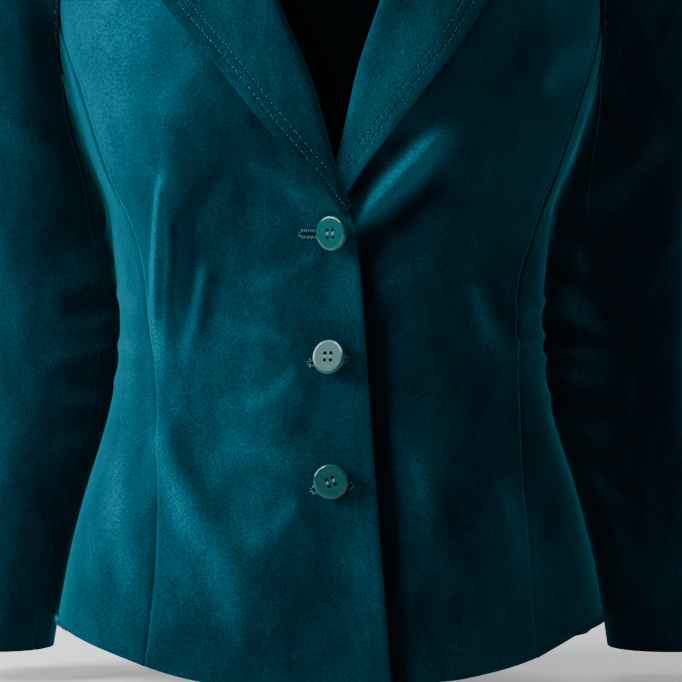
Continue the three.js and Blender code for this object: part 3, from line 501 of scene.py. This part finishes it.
# Gives a sheet its seams, edges, creases and stitch grooves. The first edge can stand off by lift.
def shapeSheet(piece, seams=(), edges=(), creases=None, grooves=(), lift=0.0):
    bm = bmesh.new()
    bm.from_mesh(piece.data)
    place = bm.loops.layers.uv["place"]
    if seams:
        for tree in sideTrees(bm, seams).values():
            finerNear(bm, tree, 4.5 * mm, 1)
    for points, reach, depth, width in grooves:
        finerNear(bm, treeOf(points), reach, 2)
    bm.normal_update()
    trees = sideTrees(bm, tuple(seams) + tuple(edges))
    grooveTrees = [(treeOf(points), depth, width) for points, reach, depth, width in grooves]
    moves = []
    for vert in bm.verts:
        co = vert.co
        height = creases(co) if creases else 0.0
        for side in seams:
            d = trees[side].find(co)[2] / mm
            if d < seamShape["reach"]:
                pucker = noise.noise(co * 95) * 0.5 + 0.55
                height -= seamShape["sunk"] * math.exp(-(d / seamShape["narrow"]) ** 2)
                height += 0.3 * pucker * math.exp(-((d - 4.2) / 3.2) ** 2)  # swells on both sides
        for side in edges:
            d = trees[side].find(co)[2] / mm
            if d < 8:
                fullness = 0.8 + 0.6 * noise.noise(co * 60)
                height += 0.3 * math.exp(-((d - 3.4) / 2.0) ** 2) * fullness  # beside a turned edge
        if lift:
            height += lift * math.exp(-(trees[edges[0]].find(co)[2] / mm / 6.0) ** 2)
        for tree, depth, width in grooveTrees:
            d = tree.find(co)[2] / mm
            if d < 4 * width:
                height += -depth * math.exp(-(d / width) ** 2)
        height += 0.55 * noise.noise(co * 26) + 0.18 * noise.noise(co * 70 + Vector((3, 1, 7)))
        moves.append((vert, vert.normal * (height * mm)))
    for vert, move in moves:
        vert.co += move
    # Seam edges reach a hair past each other, so that no light comes through
    bm.normal_update()
    rims = sideTrees(bm, seams)
    shifts = {}
    for vert in bm.verts:
        if vert.is_boundary and any(tree.find(vert.co)[2] < 0.001 * mm for tree in rims.values()):
            ends = [e.other_vert(vert).co for e in vert.link_edges if e.is_boundary]
            along = (ends[0] - ends[-1]).normalized()
            centres = [face.calc_center_median() for face in vert.link_faces]
            out = vert.co - sum(centres, Vector()) / len(centres)
            out -= along * out.dot(along)
            out -= vert.normal * out.dot(vert.normal)
            shifts[vert] = out.normalized() * seamShape["overlap"]
    for vert, shift in shifts.items():
        vert.co += shift
    bm.to_mesh(piece.data)
    bm.free()


# The sheet gets its thickness inwards from its outer face, and its cut edges are rounded
def thicken(piece, thickness, rounding, materials):
    for material in materials:
        piece.data.materials.append(material)
    wall = piece.modifiers.new("wall", "SOLIDIFY")
    wall.thickness = thickness
    wall.offset = -1
    wall.use_even_offset = False
    wall.material_offset = len(materials) - 1
    round_ = piece.modifiers.new("round", "BEVEL")
    round_.width = rounding
    round_.segments = 2
    round_.limit_method = "ANGLE"
    round_.angle_limit = math.radians(62)
    round_.use_clamp_overlap = True
    applyModifiers(piece)
    for polygon in piece.data.polygons:
        polygon.use_smooth = True


def surfaceOf(mesh):
    bm = bmesh.new()
    bm.from_mesh(mesh)
    tree = BVHTree.FromBMesh(bm)
    bm.free()
    return tree


def gridPoints(nodeName, thickness, columns):
    bm, grid = outerGrid(nodeName, thickness, columns)
    points = [[vert.co.copy() for vert in row] for row in grid]
    bm.free()
    return points


# Creases on the map of the front (x and height, mm)
frontCreases = [
    (-108.0, -326, -113.5, -446, 1.4, 5.6, 3.6),  # strain beside the panel seam, bust to waist
    (-99, -350, -105, -442, 2.0, -1.2, 5.5),
    (-81, -384, -96, -450, -2, 3.0, 4.4),
    (-71, -384, -86, -440, -2, -0.8, 5.5),
    (-62, -330, -84, -376, 4, 1.0, 8.0),
    (-6, -376, -60, -398, -4, 0.9, 6.0),  # pulls that fan out from the buttonholes
    (-14, -346, -62, -318, 5, 1.0, 7.0),
    (-20, -450, -66, -478, -5, 1.5, 6.0),
    (-22, -436, -70, -424, 4, 0.9, 6.5),
    (-18, -532, -60, -566, -4, 1.4, 7.0),
    (-20, -512, -72, -500, 4, 0.8, 7.0),
    (-8, -458, -26, -500, -3, -0.9, 6.0),
    (-112, -486, -72, -578, 6, 2.3, 8.0),
    (-98, -482, -60, -566, 6, -1.4, 8.0),
    (-95, -520, -60, -640, -8, 1.7, 10.0),
    (-138, -505, -126, -600, 5, 1.8, 8.0),
    (-160, -590, -132, -525, -5, 1.2, 8.0),
    (-60, -240, -110, -300, 8, 0.9, 12.0),
    (-130, -215, -165, -180, -5, 1.2, 10.0),
    (15, -360, 84, -291, -3, 5.6, 5.4),  # drag from the top button over the wearer's left chest
    (20, -378, 84, -324, -3, -2.6, 8.0),
    (12, -343, 62, -290, -2, -1.8, 6.0),
    (26, -400, 74, -368, 4, 0.7, 8.0),
    (93, -395, 119, -450, 3, 2.2, 6.0),
    (104, -392, 128, -440, 3, -0.9, 6.0),
    (120, -352, 139, -392, -3, 1.0, 6.0),
    (137, -272, 176, -234, -3, 2.4, 8.0),
    (118, -262, 150, -214, -4, -1.0, 10.0),
    (30, -470, 64, -520, 6, 0.7, 9.0),
    (60, -500, 84, -610, 7, 1.1, 11.0),
    (22, -540, 34, -630, 3, 0.9, 8.0),
    (112, -520, 132, -618, -5, 1.1, 9.0),
    (70, -180, 112, -132, 5, 0.8, 12.0),
    (-70, -180, -112, -128, -5, 0.8, 12.0),
]
waistCreases = [  # short crumples at the side of the waist
    (150, -404, 120, -420, 3, 2.4, 4.2),
    (150, -425, 114, -436, -2, 2.7, 4.2),
    (152, -446, 120, -448, 3, 2.4, 4.2),
    (150, -470, 126, -462, -3, 1.9, 4.6),
    (-150, -400, -124, -412, -3, 1.3, 5.0),
    (-150, -432, -120, -438, 2, 1.5, 5.0),
    (-152, -462, -126, -456, -3, 1.2, 5.0),
]
underlapCreases = [  # the left front dips beside the edge that lies over it
    (20.5, -360, 41, -640, 1.0, -1.5, 4.6),
    (33, -556, 44, -672, 0.0, -1.3, 4.8),
]
backCreases = [
    (-80, -398, -14, -420, 6, 1.7, 5.0),
    (82, -404, 18, -424, -5, 1.6, 5.5),
    (-90, -430, -22, -446, 4, 1.5, 5.0),
    (84, -438, 24, -450, 5, 1.6, 4.5),
    (-76, -462, -30, -466, -4, 1.2, 5.5),
    (72, -470, 22, -472, 3, 1.1, 5.5),
    (-128, -176, -94, -290, 9, 1.7, 8.0),
    (128, -180, 98, -276, -7, 1.8, 8.0),
    (-112, -230, -84, -330, 6, 1.1, 9.0),
    (110, -226, 86, -318, -6, 1.0, 9.0),
    (-58, -505, -72, -622, 5, 1.4, 11.0),
    (60, -512, 76, -618, -5, 1.3, 11.0),
    (-30, -540, -34, -628, -3, 0.9, 9.0),
    (26, -530, 34, -624, 3, 0.9, 9.0),
    (-46, -58, -118, -92, -4, 1.2, 8.0),
    (44, -60, 116, -90, 4, 1.2, 8.0),
    (-20, -300, -36, -380, 3, 0.8, 8.0),
    (24, -310, 38, -384, -3, 0.8, 8.0),
]


def torsoCrease(co):
    x, z = co.x / mm, co.z / mm
    side = creaseHeight(waistCreases, x, z) * smooth((abs(x) - 105) / 20)
    if co.y < 0:
        return creaseHeight(frontCreases, x, z) * smooth(-co.y / mm / 18) + side
    return creaseHeight(backCreases, x, z) * smooth(co.y / mm / 18) + side


def leftFrontCrease(co):
    return torsoCrease(co) + creaseHeight(underlapCreases, co.x / mm, co.z / mm)


# Patches of the pile made lighter, or darker below zero: partly the nap's own uneven tone, partly
# painted light and shade (painted highlights on the lit left chest and along fold crests, painted
# shadow beside the lapped front edge, painted shade on the far side and sleeves). Middle on the same
# map, half sizes, turn in degrees, strength
frontNapAndLight = {
    "right": [
        (-142, -262, 36, 60, 10, 1.15),
        (-94, -388, 12, 46, 0, -0.8),
        (-109.5, -384, 4.2, 50, -2, 2.4),
        (-118, -210, 40, 34, -20, 0.6),
        (-72, -338, 40, 46, 0, -0.7),
        (-52, -265, 20, 60, 35, -0.4),
        (-130, -440, 18, 70, -4, 0.5),
        (-62, -432, 30, 26, 8, 0.2),
        (-30, -420, 30, 60, 0, -0.3),
        (-126, -580, 34, 40, 20, 0.5),
        (-58, -540, 26, 50, -25, 0.3),
        (-30, -610, 30, 50, 0, -0.4),
        (6, -402, 12, 22, 0, 0.5),
        (-10, -345, 18, 14, 0, 0.5),
        (12, -480, 10, 24, 0, 0.4),
    ],
    "left": [
        (48, -330, 34, 8, 43, 2.2),
        (92, -290, 30, 40, 0, -0.3),
        (150, -205, 26, 34, -30, 0.7),
        (30, -480, 9, 150, 4, -1.2),
        (70, -450, 34, 60, 10, -0.3),
        (80, -570, 50, 70, 0, -0.5),
        (104, -540, 22, 60, -8, 0.25),
        (130, -420, 14, 60, 0, -0.5),
    ],
}
lapelNapAndLight = {
    "right": [(-50, -230, 26, 60, 30, 0.35), (-22, -315, 12, 36, 28, -0.4)],
    "left": [(44, -262, 20, 70, -32, 1.5), (20, -318, 10, 30, -30, 0.9)],
}
sideNapAndLight = {
    "right": [(-150, -400, 30, 120, 0, 0.4)],
    "left": [(150, -420, 30, 160, 0, -0.9)],
}
sleeveNapAndLight = {
    "right": [(-205, -380, 90, 300, 0, -0.45)],
    "left": [(205, -380, 90, 300, 0, -0.9)],
}
backNapAndLight = [
    (-86, -240, 40, 60, 15, 0.7), (70, -200, 36, 44, -20, 0.4), (-50, -420, 30, 50, 5, -0.4),
    (60, -470, 30, 60, -8, 0.35), (-70, -580, 40, 40, 20, 0.5), (88, -590, 30, 46, -14, -0.3),
]


# Middle line of a sleeve by height, and its creases on (millimetres round from the outermost line
# towards the front, height)
sleeveLine = [(-150, 214, 4), (-250, 206, 10), (-340, 199, 18), (-400, 196, 24), (-450, 197, 28),
              (-500, 203, 28), (-550, 214, 27), (-600, 224, 25), (-645, 231, 22)]
sleeveCreases = {
    "left": [
        (150, -350, 96, -392, 4, 1.8, 5.0),
        (160, -378, 88, -412, -4, 2.3, 5.0),
        (158, -402, 80, -430, 4, 2.6, 5.0),
        (156, -428, 76, -444, -3, 2.2, 4.5),
        (158, -452, 84, -462, 3, 2.4, 5.0),
        (150, -478, 88, -496, -4, 1.6, 5.5),
        (140, -512, 96, -548, 5, 1.3, 7.0),
        (60, -292, 118, -350, 8, 1.4, 8.0),
        (40, -330, 70, -420, 6, 1.0, 9.0),
        (210, -400, 262, -420, 4, 1.4, 6.0),
        (206, -436, 268, -440, -4, 1.4, 6.0),
        (290, -130, 250, -230, 7, 1.6, 8.0),
        (30, -120, 78, -232, -7, 1.5, 8.0),
        (14, -500, 50, -600, 6, 1.1, 9.0),
        (300, -470, 276, -570, -6, 1.1, 9.0),
        (100, -560, 128, -620, 4, 1.0, 8.0),
    ],
    "right": [
        (152, -340, 92, -386, -4, 1.6, 5.5),
        (158, -372, 84, -404, 4, 2.1, 5.5),
        (160, -400, 88, -424, -4, 2.4, 5.0),
        (154, -430, 78, -450, 4, 2.2, 5.0),
        (156, -462, 90, -470, -3, 1.9, 5.0),
        (146, -490, 92, -512, 4, 1.4, 6.0),
        (58, -286, 112, -344, -7, 1.3, 9.0),
        (44, -350, 66, -440, -5, 1.0, 9.0),
        (212, -396, 262, -412, -4, 1.5, 6.0),
        (206, -428, 266, -438, 4, 1.3, 6.0),
        (294, -124, 256, -222, -7, 1.6, 8.0),
        (32, -126, 82, -226, 7, 1.4, 8.0),
        (18, -510, 46, -606, -6, 1.1, 9.0),
        (302, -480, 282, -580, 6, 1.0, 9.0),
        (98, -548, 124, -612, -4, 1.0, 8.0),
    ],
}


def sleeveCrease(side):
    def heightAt(co):
        z = co.z / mm
        row = 0
        while row < len(sleeveLine) - 2 and z < sleeveLine[row + 1][0]:
            row += 1
        (z1, x1, y1), (z2, x2, y2) = sleeveLine[row], sleeveLine[row + 1]
        share = min(1.0, max(0.0, (z - z1) / (z2 - z1)))
        turn = math.degrees(math.atan2(mixed(y1, y2, share) - co.y / mm,
                                       abs(co.x) / mm - mixed(x1, x2, share)))
        around = (turn % 360) * 0.89  # millimetres round the sleeve for each degree
        return creaseHeight(sleeveCreases[side], around, z) * smooth((-70 - z) / 40)
    return heightAt


def addStitch(bm, at, along, out, length, thick):
    side = along.cross(out).normalized()
    forward = out.cross(side).normalized()
    turn = Matrix((forward, side, out)).transposed().to_4x4()
    size = Matrix.Diagonal((length / 2, thick / 2, thick / 2, 1))
    bmesh.ops.create_uvsphere(bm, u_segments=6, v_segments=5, radius=1,
                              matrix=Matrix.Translation(at) @ turn @ size)


# Even steps along a line of points
def walkLine(points, step):
    walked = []
    carried = 0.0
    for a, b in zip(points, points[1:]):
        length = (b - a).length
        if length < 1e-9:
            continue
        at = carried
        while at < length:
            walked.append((a.lerp(b, at / length), (b - a).normalized()))
            at += step
        carried = at - length
    return walked


# A smooth line through the points
def smoothLine(points, steps=6):
    result = []
    last = len(points) - 1
    for k in range(last):
        p0, p1, p2, p3 = points[max(0, k - 1)], points[k], points[k + 1], points[min(last, k + 2)]
        for step in range(steps):
            t = step / steps
            result.append(0.5 * ((2 * p1) + (p2 - p0) * t + (2 * p0 - 5 * p1 + 4 * p2 - p3) * t * t
                                 + (3 * p1 - p0 - 3 * p2 + p3) * t ** 3))
    result.append(points[last].copy())
    return result


# Rows of stitches, lying on a surface and sunk into it a little
def sewRows(bm, surface, lines):
    for line in lines:
        for index, (point, along) in enumerate(walkLine(line, stitching["pitch"])):
            at, out = surface.find_nearest(point)[:2]
            wobble = stitching["wobble"] * noise.noise(point * 400 + Vector((0, 0, index)))
            at = at + out * (stitching["thick"] * stitching["rise"])
            at += along.cross(out).normalized() * wobble
            addStitch(bm, at, along, out, stitching["length"], stitching["thick"])


def stitchPiece(name, bm, material):
    piece = newObject(name, bm)
    piece.data.materials.append(material)
    for polygon in piece.data.polygons:
        polygon.use_smooth = True
    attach(piece, "root")


# A point a given way in from a row's last corner
def inFromEnd(row, distance):
    left = distance
    for k in range(len(row) - 1, 0, -1):
        step = (row[k - 1] - row[k]).length
        if left <= step:
            return row[k].lerp(row[k - 1], left / step)
        left -= step
    return None


clothWall = {"thickness": 2.0 * mm, "rounding": 0.75 * mm}
foldedWall = {"thickness": 2.4 * mm, "rounding": 0.9 * mm}
stitching = {
    "outerRow": 8.0 * mm, "innerRow": 13.8 * mm, "pitch": 2.75 * mm, "length": 2.15 * mm,
    "thick": 0.36 * mm, "rise": 0.4, "wobble": 0.12 * mm,
}
pieces = {}


# One sewn piece: columns is how many faces its CAD wall has across
def makePiece(node, columns, levels, wall, materials, creases, seams, edges, grooves=(), lift=0.0,
              patches=()):
    bm, grid = outerGrid(node, wall["thickness"], columns)
    layOut(bm, grid)
    piece = finerMesh(bm, f"velvet_{node}", levels)
    shapeSheet(piece, seams, edges, creases, grooves, lift)
    thicken(piece, wall["thickness"], wall["rounding"], materials)
    paintPileAndLight(piece, patches, creases)
    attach(piece, "root")
    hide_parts(node)
    pieces[node] = piece


# Buttonholes: both ends on the map of the front, mm
buttonholes = [
    {"x1": -17.6, "z1": -363.8, "x2": 7.0, "z2": -364.6},
    {"x1": -12.2, "z1": -446.0, "x2": 9.6, "z2": -443.8},
    {"x1": -10.2, "z1": -526.5, "x2": 13.0, "z2": -523.6},
]


def onFront(surface, x, z):
    return surface.ray_cast(Vector((x * mm, -0.4, z * mm)), Vector((0, 1, 0)))[:2]


# Points along the slits, on the CAD front
def slitPoints(node):
    surface = surfaceOf(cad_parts[node].data)
    points = []
    for hole in buttonholes:
        for k in range(28):
            x, z = mixed(hole["x1"], hole["x2"], k / 27), mixed(hole["z1"], hole["z2"], k / 27)
            points.append(onFront(surface, x, z)[0])
    return points


bodyCloth = (velvet, reverse)
slits = [(slitPoints("front_right"), 3.2 * mm, 1.5, 0.95)]  # reach, then depth and width in mm
makePiece("front_right", 13, 3, clothWall, bodyCloth, torsoCrease, ("end", "top"),
          ("start", "bottom"), slits, lift=1.0, patches=frontNapAndLight["right"])
makePiece("front_left", 13, 3, clothWall, bodyCloth, leftFrontCrease, ("end", "top"),
          ("start", "bottom"), patches=frontNapAndLight["left"])
for side in ("right", "left"):
    for part, columns, levels, creases, patches in (
            ("side", 8, 3, torsoCrease, sideNapAndLight[side]),
            ("back", 9, 2, torsoCrease, backNapAndLight),
            ("sleeve_upper", 17, 2, sleeveCrease(side), sleeveNapAndLight[side]),
            ("sleeve_under", 9, 2, sleeveCrease(side), sleeveNapAndLight[side])):
        makePiece(f"{part}_{side}", columns, levels, clothWall, bodyCloth, creases,
                  ("start", "end", "top"), ("bottom",), patches=patches)
print("body and sleeves made")

# Lapels and collar, with two stitched rows along their edges
stitchedGorge = 0.58  # share of the gorge at which a row of stitches ends
for side in ("right", "left"):
    rows = gridPoints(f"lapel_{side}", foldedWall["thickness"], 8)
    column = [row[6] for row in rows]  # between the notch and the tip
    lines = []
    for distance in (stitching["outerRow"], stitching["innerRow"]):
        climb = []
        for row in rows[:-1]:
            width = sum((b - a).length for a, b in zip(row, row[1:]))
            point = inFromEnd(row, distance)
            if point is not None and width > distance + 5 * mm:
                climb.append(point)
        top = inFromEnd(column, distance)
        corner = inFromEnd([inFromEnd(row, distance) or row[0] for row in rows], distance)
        gorge = rows[-1][0].lerp(rows[-1][-1], stitchedGorge)
        while (climb[-1] - corner).length < 12 * mm or climb[-1].z > corner.z:
            climb.pop()
        lines.append(smoothLine(climb + [corner]) + [top, gorge + (top - column[-1])])
    makePiece(f"lapel_{side}", 8, 3, foldedWall, (velvetCollar,), None, (), ("end", "top"),
              [(line, 2.6 * mm, 0.75, 1.0) for line in lines], patches=lapelNapAndLight[side])
    bm = bmesh.new()
    sewRows(bm, surfaceOf(pieces[f"lapel_{side}"].data), lines)
    stitchPiece(f"stitches_lapel_{side}", bm, topThread)

collarRows = gridPoints("collar", foldedWall["thickness"], 10)
collarLines = [smoothLine([inFromEnd(row, distance) for row in collarRows])
               for distance in (stitching["outerRow"], stitching["innerRow"])]
makePiece("collar", 10, 3, foldedWall, (velvetCollar,), None, (), ("end",),
          [(line, 2.2 * mm, 0.7, 1.0) for line in collarLines])
bm = bmesh.new()
sewRows(bm, surfaceOf(pieces["collar"].data), collarLines)
stitchPiece("stitches_collar", bm, topThread)
print("lapels and collar made")

# Buttonhole stitches: close rows along the slit, and a fan at each end
frontSurface = surfaceOf(pieces["front_right"].data)
holeStitch = {
    "length": 2.3 * mm, "thick": 0.5 * mm, "rise": 0.34 * mm,
    "pitch": 1.25, "away": 2.1, "fanAway": 1.9,  # in mm, like the slits
    "fan": 4,
}
for index, hole in enumerate(buttonholes):
    bm = bmesh.new()
    dx, dz = hole["x2"] - hole["x1"], hole["z2"] - hole["z1"]
    length = math.hypot(dx, dz)
    ux, uz = dx / length, dz / length
    count = int(length / holeStitch["pitch"])
    places = []
    for k in range(count + 1):
        x = hole["x1"] + ux * k * holeStitch["pitch"]
        z = hole["z1"] + uz * k * holeStitch["pitch"]
        for up in (-1, 1):
            lean = 0.9 * noise.noise(Vector((x * 1.7, z * 1.7, up)))
            places.append((x - uz * up * holeStitch["away"], z + ux * up * holeStitch["away"],
                           -uz * up + lean, ux * up))
    for end, sign in (("1", -1), ("2", 1)):
        for k in range(holeStitch["fan"]):
            angle = math.radians(-75 + 150 * k / (holeStitch["fan"] - 1))
            fx, fz = sign * math.cos(angle), math.sin(angle)
            places.append((hole[f"x{end}"] + holeStitch["fanAway"] * fx,
                           hole[f"z{end}"] + holeStitch["fanAway"] * fz, fx, fz))
    for x, z, ax, az in places:
        at, out = onFront(frontSurface, x, z)
        jitter = 1 + 0.9 * noise.noise(Vector((x * 3, z * 3, 2)))
        rise = holeStitch["rise"] * (1 + 0.8 * noise.noise(Vector((x * 5, z * 5, 7))))
        addStitch(bm, at + out * rise, Vector((ax, 0, az)), out, holeStitch["length"] * jitter,
                  holeStitch["thick"] * (0.8 + 0.3 * jitter))
    stitchPiece(f"buttonhole_{index + 1}", bm, holeThread)
print("buttonholes sewn")

# Buttons: turned from a profile, holes bored, each on its CAD button's seat and axis
buttonShape = {
    "profile": [  # radius and height, mm
        (0.0, 3.38), (6.0, 3.38), (8.6, 3.4), (9.4, 3.4), (9.9, 3.38), (10.35, 3.3),
        (10.75, 3.12), (11.05, 2.86), (11.28, 2.5), (11.43, 2.08), (11.5, 1.6), (11.4, 1.05),
        (11.1, 0.6), (10.7, 0.28), (10.1, 0.08), (9.4, 0.0), (0.0, 0.0)],
    "holeOffset": 2.1 * mm, "holeRadius": 1.2 * mm, "drillDepth": 9 * mm, "drillMiddle": 1.5 * mm,
    "softEdge": 0.18 * mm,
}
buttonSpin = {"button_top": 0.0, "button_middle": 0.0, "button_bottom": 24.0}  # degrees


# Where a CAD button sits, and which way it faces
def buttonSeat(node):
    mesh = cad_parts[node].data
    axis = Vector((0, -1, 0))
    for limit in (0.6, 0.9, 0.97):  # nearer and nearer to the face alone
        total = Vector()
        for polygon in mesh.polygons:
            if polygon.normal.dot(axis) > limit:
                total += polygon.normal * polygon.area
        axis = total.normalized()
    points = [v.co for v in mesh.vertices]
    centre = sum(points, Vector()) / len(points)
    low = min((p - centre).dot(axis) for p in points)
    middle = Vector([(min(p[k] for p in points) + max(p[k] for p in points)) / 2 for k in range(3)])
    middle += axis * ((centre - middle).dot(axis) + low)
    return middle, axis


for node, spin in buttonSpin.items():
    seat, axis = buttonSeat(node)
    up = Vector((0, 0, 1))
    right = up.cross(axis).normalized() * -1
    up = right.cross(axis).normalized() * -1
    if up.z < 0:
        up.negate()
    right = up.cross(axis)
    turn = Matrix((right, axis.cross(right), axis)).transposed().to_4x4()
    placing = Matrix.Translation(seat) @ turn @ Matrix.Rotation(math.radians(spin), 4, "Z")
    bm = bmesh.new()
    chain = [bm.verts.new((r * mm, 0, h * mm)) for r, h in buttonShape["profile"]]
    spinEdges = [bm.edges.new(pair) for pair in zip(chain, chain[1:])]
    bmesh.ops.spin(bm, geom=chain + spinEdges, cent=(0, 0, 0), axis=(0, 0, 1),
                   angle=2 * math.pi, steps=72, use_merge=True)
    bmesh.ops.remove_doubles(bm, verts=bm.verts, dist=0.001 * mm)
    bmesh.ops.recalc_face_normals(bm, faces=bm.faces)
    disc = newObject(f"gloss_{node}", bm)
    bm = bmesh.new()
    offset, radius = buttonShape["holeOffset"], buttonShape["holeRadius"]
    for dx in (-offset, offset):
        for dy in (-offset, offset):
            bmesh.ops.create_cone(bm, cap_ends=True, segments=24, radius1=radius, radius2=radius,
                                  depth=buttonShape["drillDepth"],
                                  matrix=Matrix.Translation((dx, dy, buttonShape["drillMiddle"])))
    drill = newObject("drill", bm)
    boring = disc.modifiers.new("holes", "BOOLEAN")
    boring.operation = "DIFFERENCE"
    boring.solver = "EXACT"
    boring.object = drill
    softening = disc.modifiers.new("soft", "BEVEL")
    softening.width = buttonShape["softEdge"]
    softening.segments = 2
    softening.limit_method = "ANGLE"
    softening.angle_limit = math.radians(50)
    applyModifiers(disc)
    bpy.data.objects.remove(drill)
    disc.data.transform(placing)
    disc.data.materials.append(button)
    for polygon in disc.data.polygons:
        polygon.use_smooth = abs(polygon.normal.dot(axis)) < 0.9999  # the flat face stays flat
    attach(disc, "root")
    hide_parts(node)
    # three strands over each bridge, going down into the holes
    bm = bmesh.new()
    for dx in (-offset, offset):
        for k in (-1, 0, 1):
            at = placing @ Vector((dx + k * 0.48 * mm, 0.1 * k * mm, 3.3 * mm))
            along = placing.to_3x3() @ Vector((0.12 * k, 1, 0))
            addStitch(bm, at, along, axis, 2.9 * mm, 0.62 * mm)
            for dy in (-offset, offset):
                down = placing @ Vector((dx + k * 0.4 * mm, dy * 0.68, 0.9 * mm))
                addStitch(bm, down, axis, placing.to_3x3() @ Vector((0, 1, 0)), 3.4 * mm, 0.5 * mm)
    stitchPiece(f"thread_{node}", bm, holeThread)
print("buttons made")

# Floor, lights and camera
bm = bmesh.new()
bmesh.ops.create_circle(bm, cap_ends=True, segments=96, radius=9)
floor = newObject("floor", bm)
floor.location = (0, 0, -0.664)  # a little under the hem
pale = bpy.data.materials.new("paleFloor")
pale.use_nodes = True
floorTree = pale.node_tree
floorShader = floorTree.nodes["Principled BSDF"]
floorShader.inputs["Base Color"].default_value = (0.74, 0.74, 0.73, 1)
floorShader.inputs["Roughness"].default_value = 0.8
floorShader.inputs["Specular IOR Level"].default_value = 0.1
floorShader.inputs["Emission Color"].default_value = (0.9, 0.9, 0.9, 1)
seen = floorTree.nodes.new("ShaderNodeLightPath")
link(floorTree, mathNode(floorTree, "MULTIPLY", seen.outputs["Is Camera Ray"], 0.36),
     floorShader.inputs["Emission Strength"])
floor.data.materials.append(pale)

# The room is pale to look at but gives little light, so the lamps shape the velvet
world = bpy.data.worlds.new("studio")
world.use_nodes = True
worldTree = world.node_tree
roomLight = worldTree.nodes["Background"]
roomLight.inputs["Color"].default_value = (0.93, 0.96, 1.0, 1)
roomLight.inputs["Strength"].default_value = 0.13
roomSeen = worldTree.nodes.new("ShaderNodeBackground")
roomSeen.inputs["Color"].default_value = (0.93, 0.95, 0.96, 1)
roomSeen.inputs["Strength"].default_value = 0.52
rays = worldTree.nodes.new("ShaderNodeLightPath")
roomMix = worldTree.nodes.new("ShaderNodeMixShader")
link(worldTree, rays.outputs["Is Camera Ray"], roomMix.inputs[0])
link(worldTree, roomLight.outputs[0], roomMix.inputs[1])
link(worldTree, roomSeen.outputs[0], roomMix.inputs[2])
link(worldTree, roomMix.outputs[0], worldTree.nodes["World Output"].inputs["Surface"])
bpy.context.scene.world = world

studioLights = {
    "windowLeft": {"at": (-2.05, -0.66, 0.5), "size": 1.1, "power": 145, "colour": (0.96, 0.985, 1.0)},
    "fillFront": {"at": (-0.9, -2.4, 0.9), "size": 1.4, "power": 9, "colour": (1.0, 0.99, 0.97)},
    "rimRight": {"at": (1.7, 0.5, -0.1), "size": 0.8, "power": 2, "colour": (0.97, 0.99, 1.0)},
    "fillBack": {"at": (0.6, 2.4, 0.9), "size": 1.6, "power": 45, "colour": (1.0, 1.0, 1.0)},
}
# What the glossy buttons mirror: a pane low down, brighter panes above it
mirroredPanes = {
    "paneLow": {"at": (-1.49, -1.14, 0.12), "size": 0.42, "power": 2.6, "colour": (1.0, 1.0, 1.0)},
    "paneHigh": {"at": (-1.18, -1.04, 0.73), "size": 0.55, "power": 30, "colour": (1.0, 1.0, 1.0)},
    "paneRight": {"at": (-1.08, -1.28, 0.45), "size": 0.46, "power": 28, "colour": (1.0, 1.0, 1.0)},
}
lightAim = Vector((0, 0, -0.4))
for name, setting in (studioLights | mirroredPanes).items():
    data = bpy.data.lights.new(name, "AREA")
    data.size = setting["size"]
    data.energy = setting["power"]
    data.color = setting["colour"]
    lamp = bpy.data.objects.new(name, data)
    bpy.context.scene.collection.objects.link(lamp)
    lamp.visible_diffuse = name in studioLights
    lamp.location = setting["at"]
    lamp.rotation_euler = (lightAim - Vector(setting["at"])).to_track_quat("-Z", "Y").to_euler()

cameraData = bpy.data.cameras.new("camera")
cameraData.lens = 128.05
cameraData.sensor_width = 36
camera = bpy.data.objects.new("camera", cameraData)
camera.location = (0.007, -1.655, -0.432)
camera.rotation_euler = (math.radians(90), 0, 0)
bpy.context.scene.collection.objects.link(camera)
bpy.context.scene.camera = camera

print("scene done")
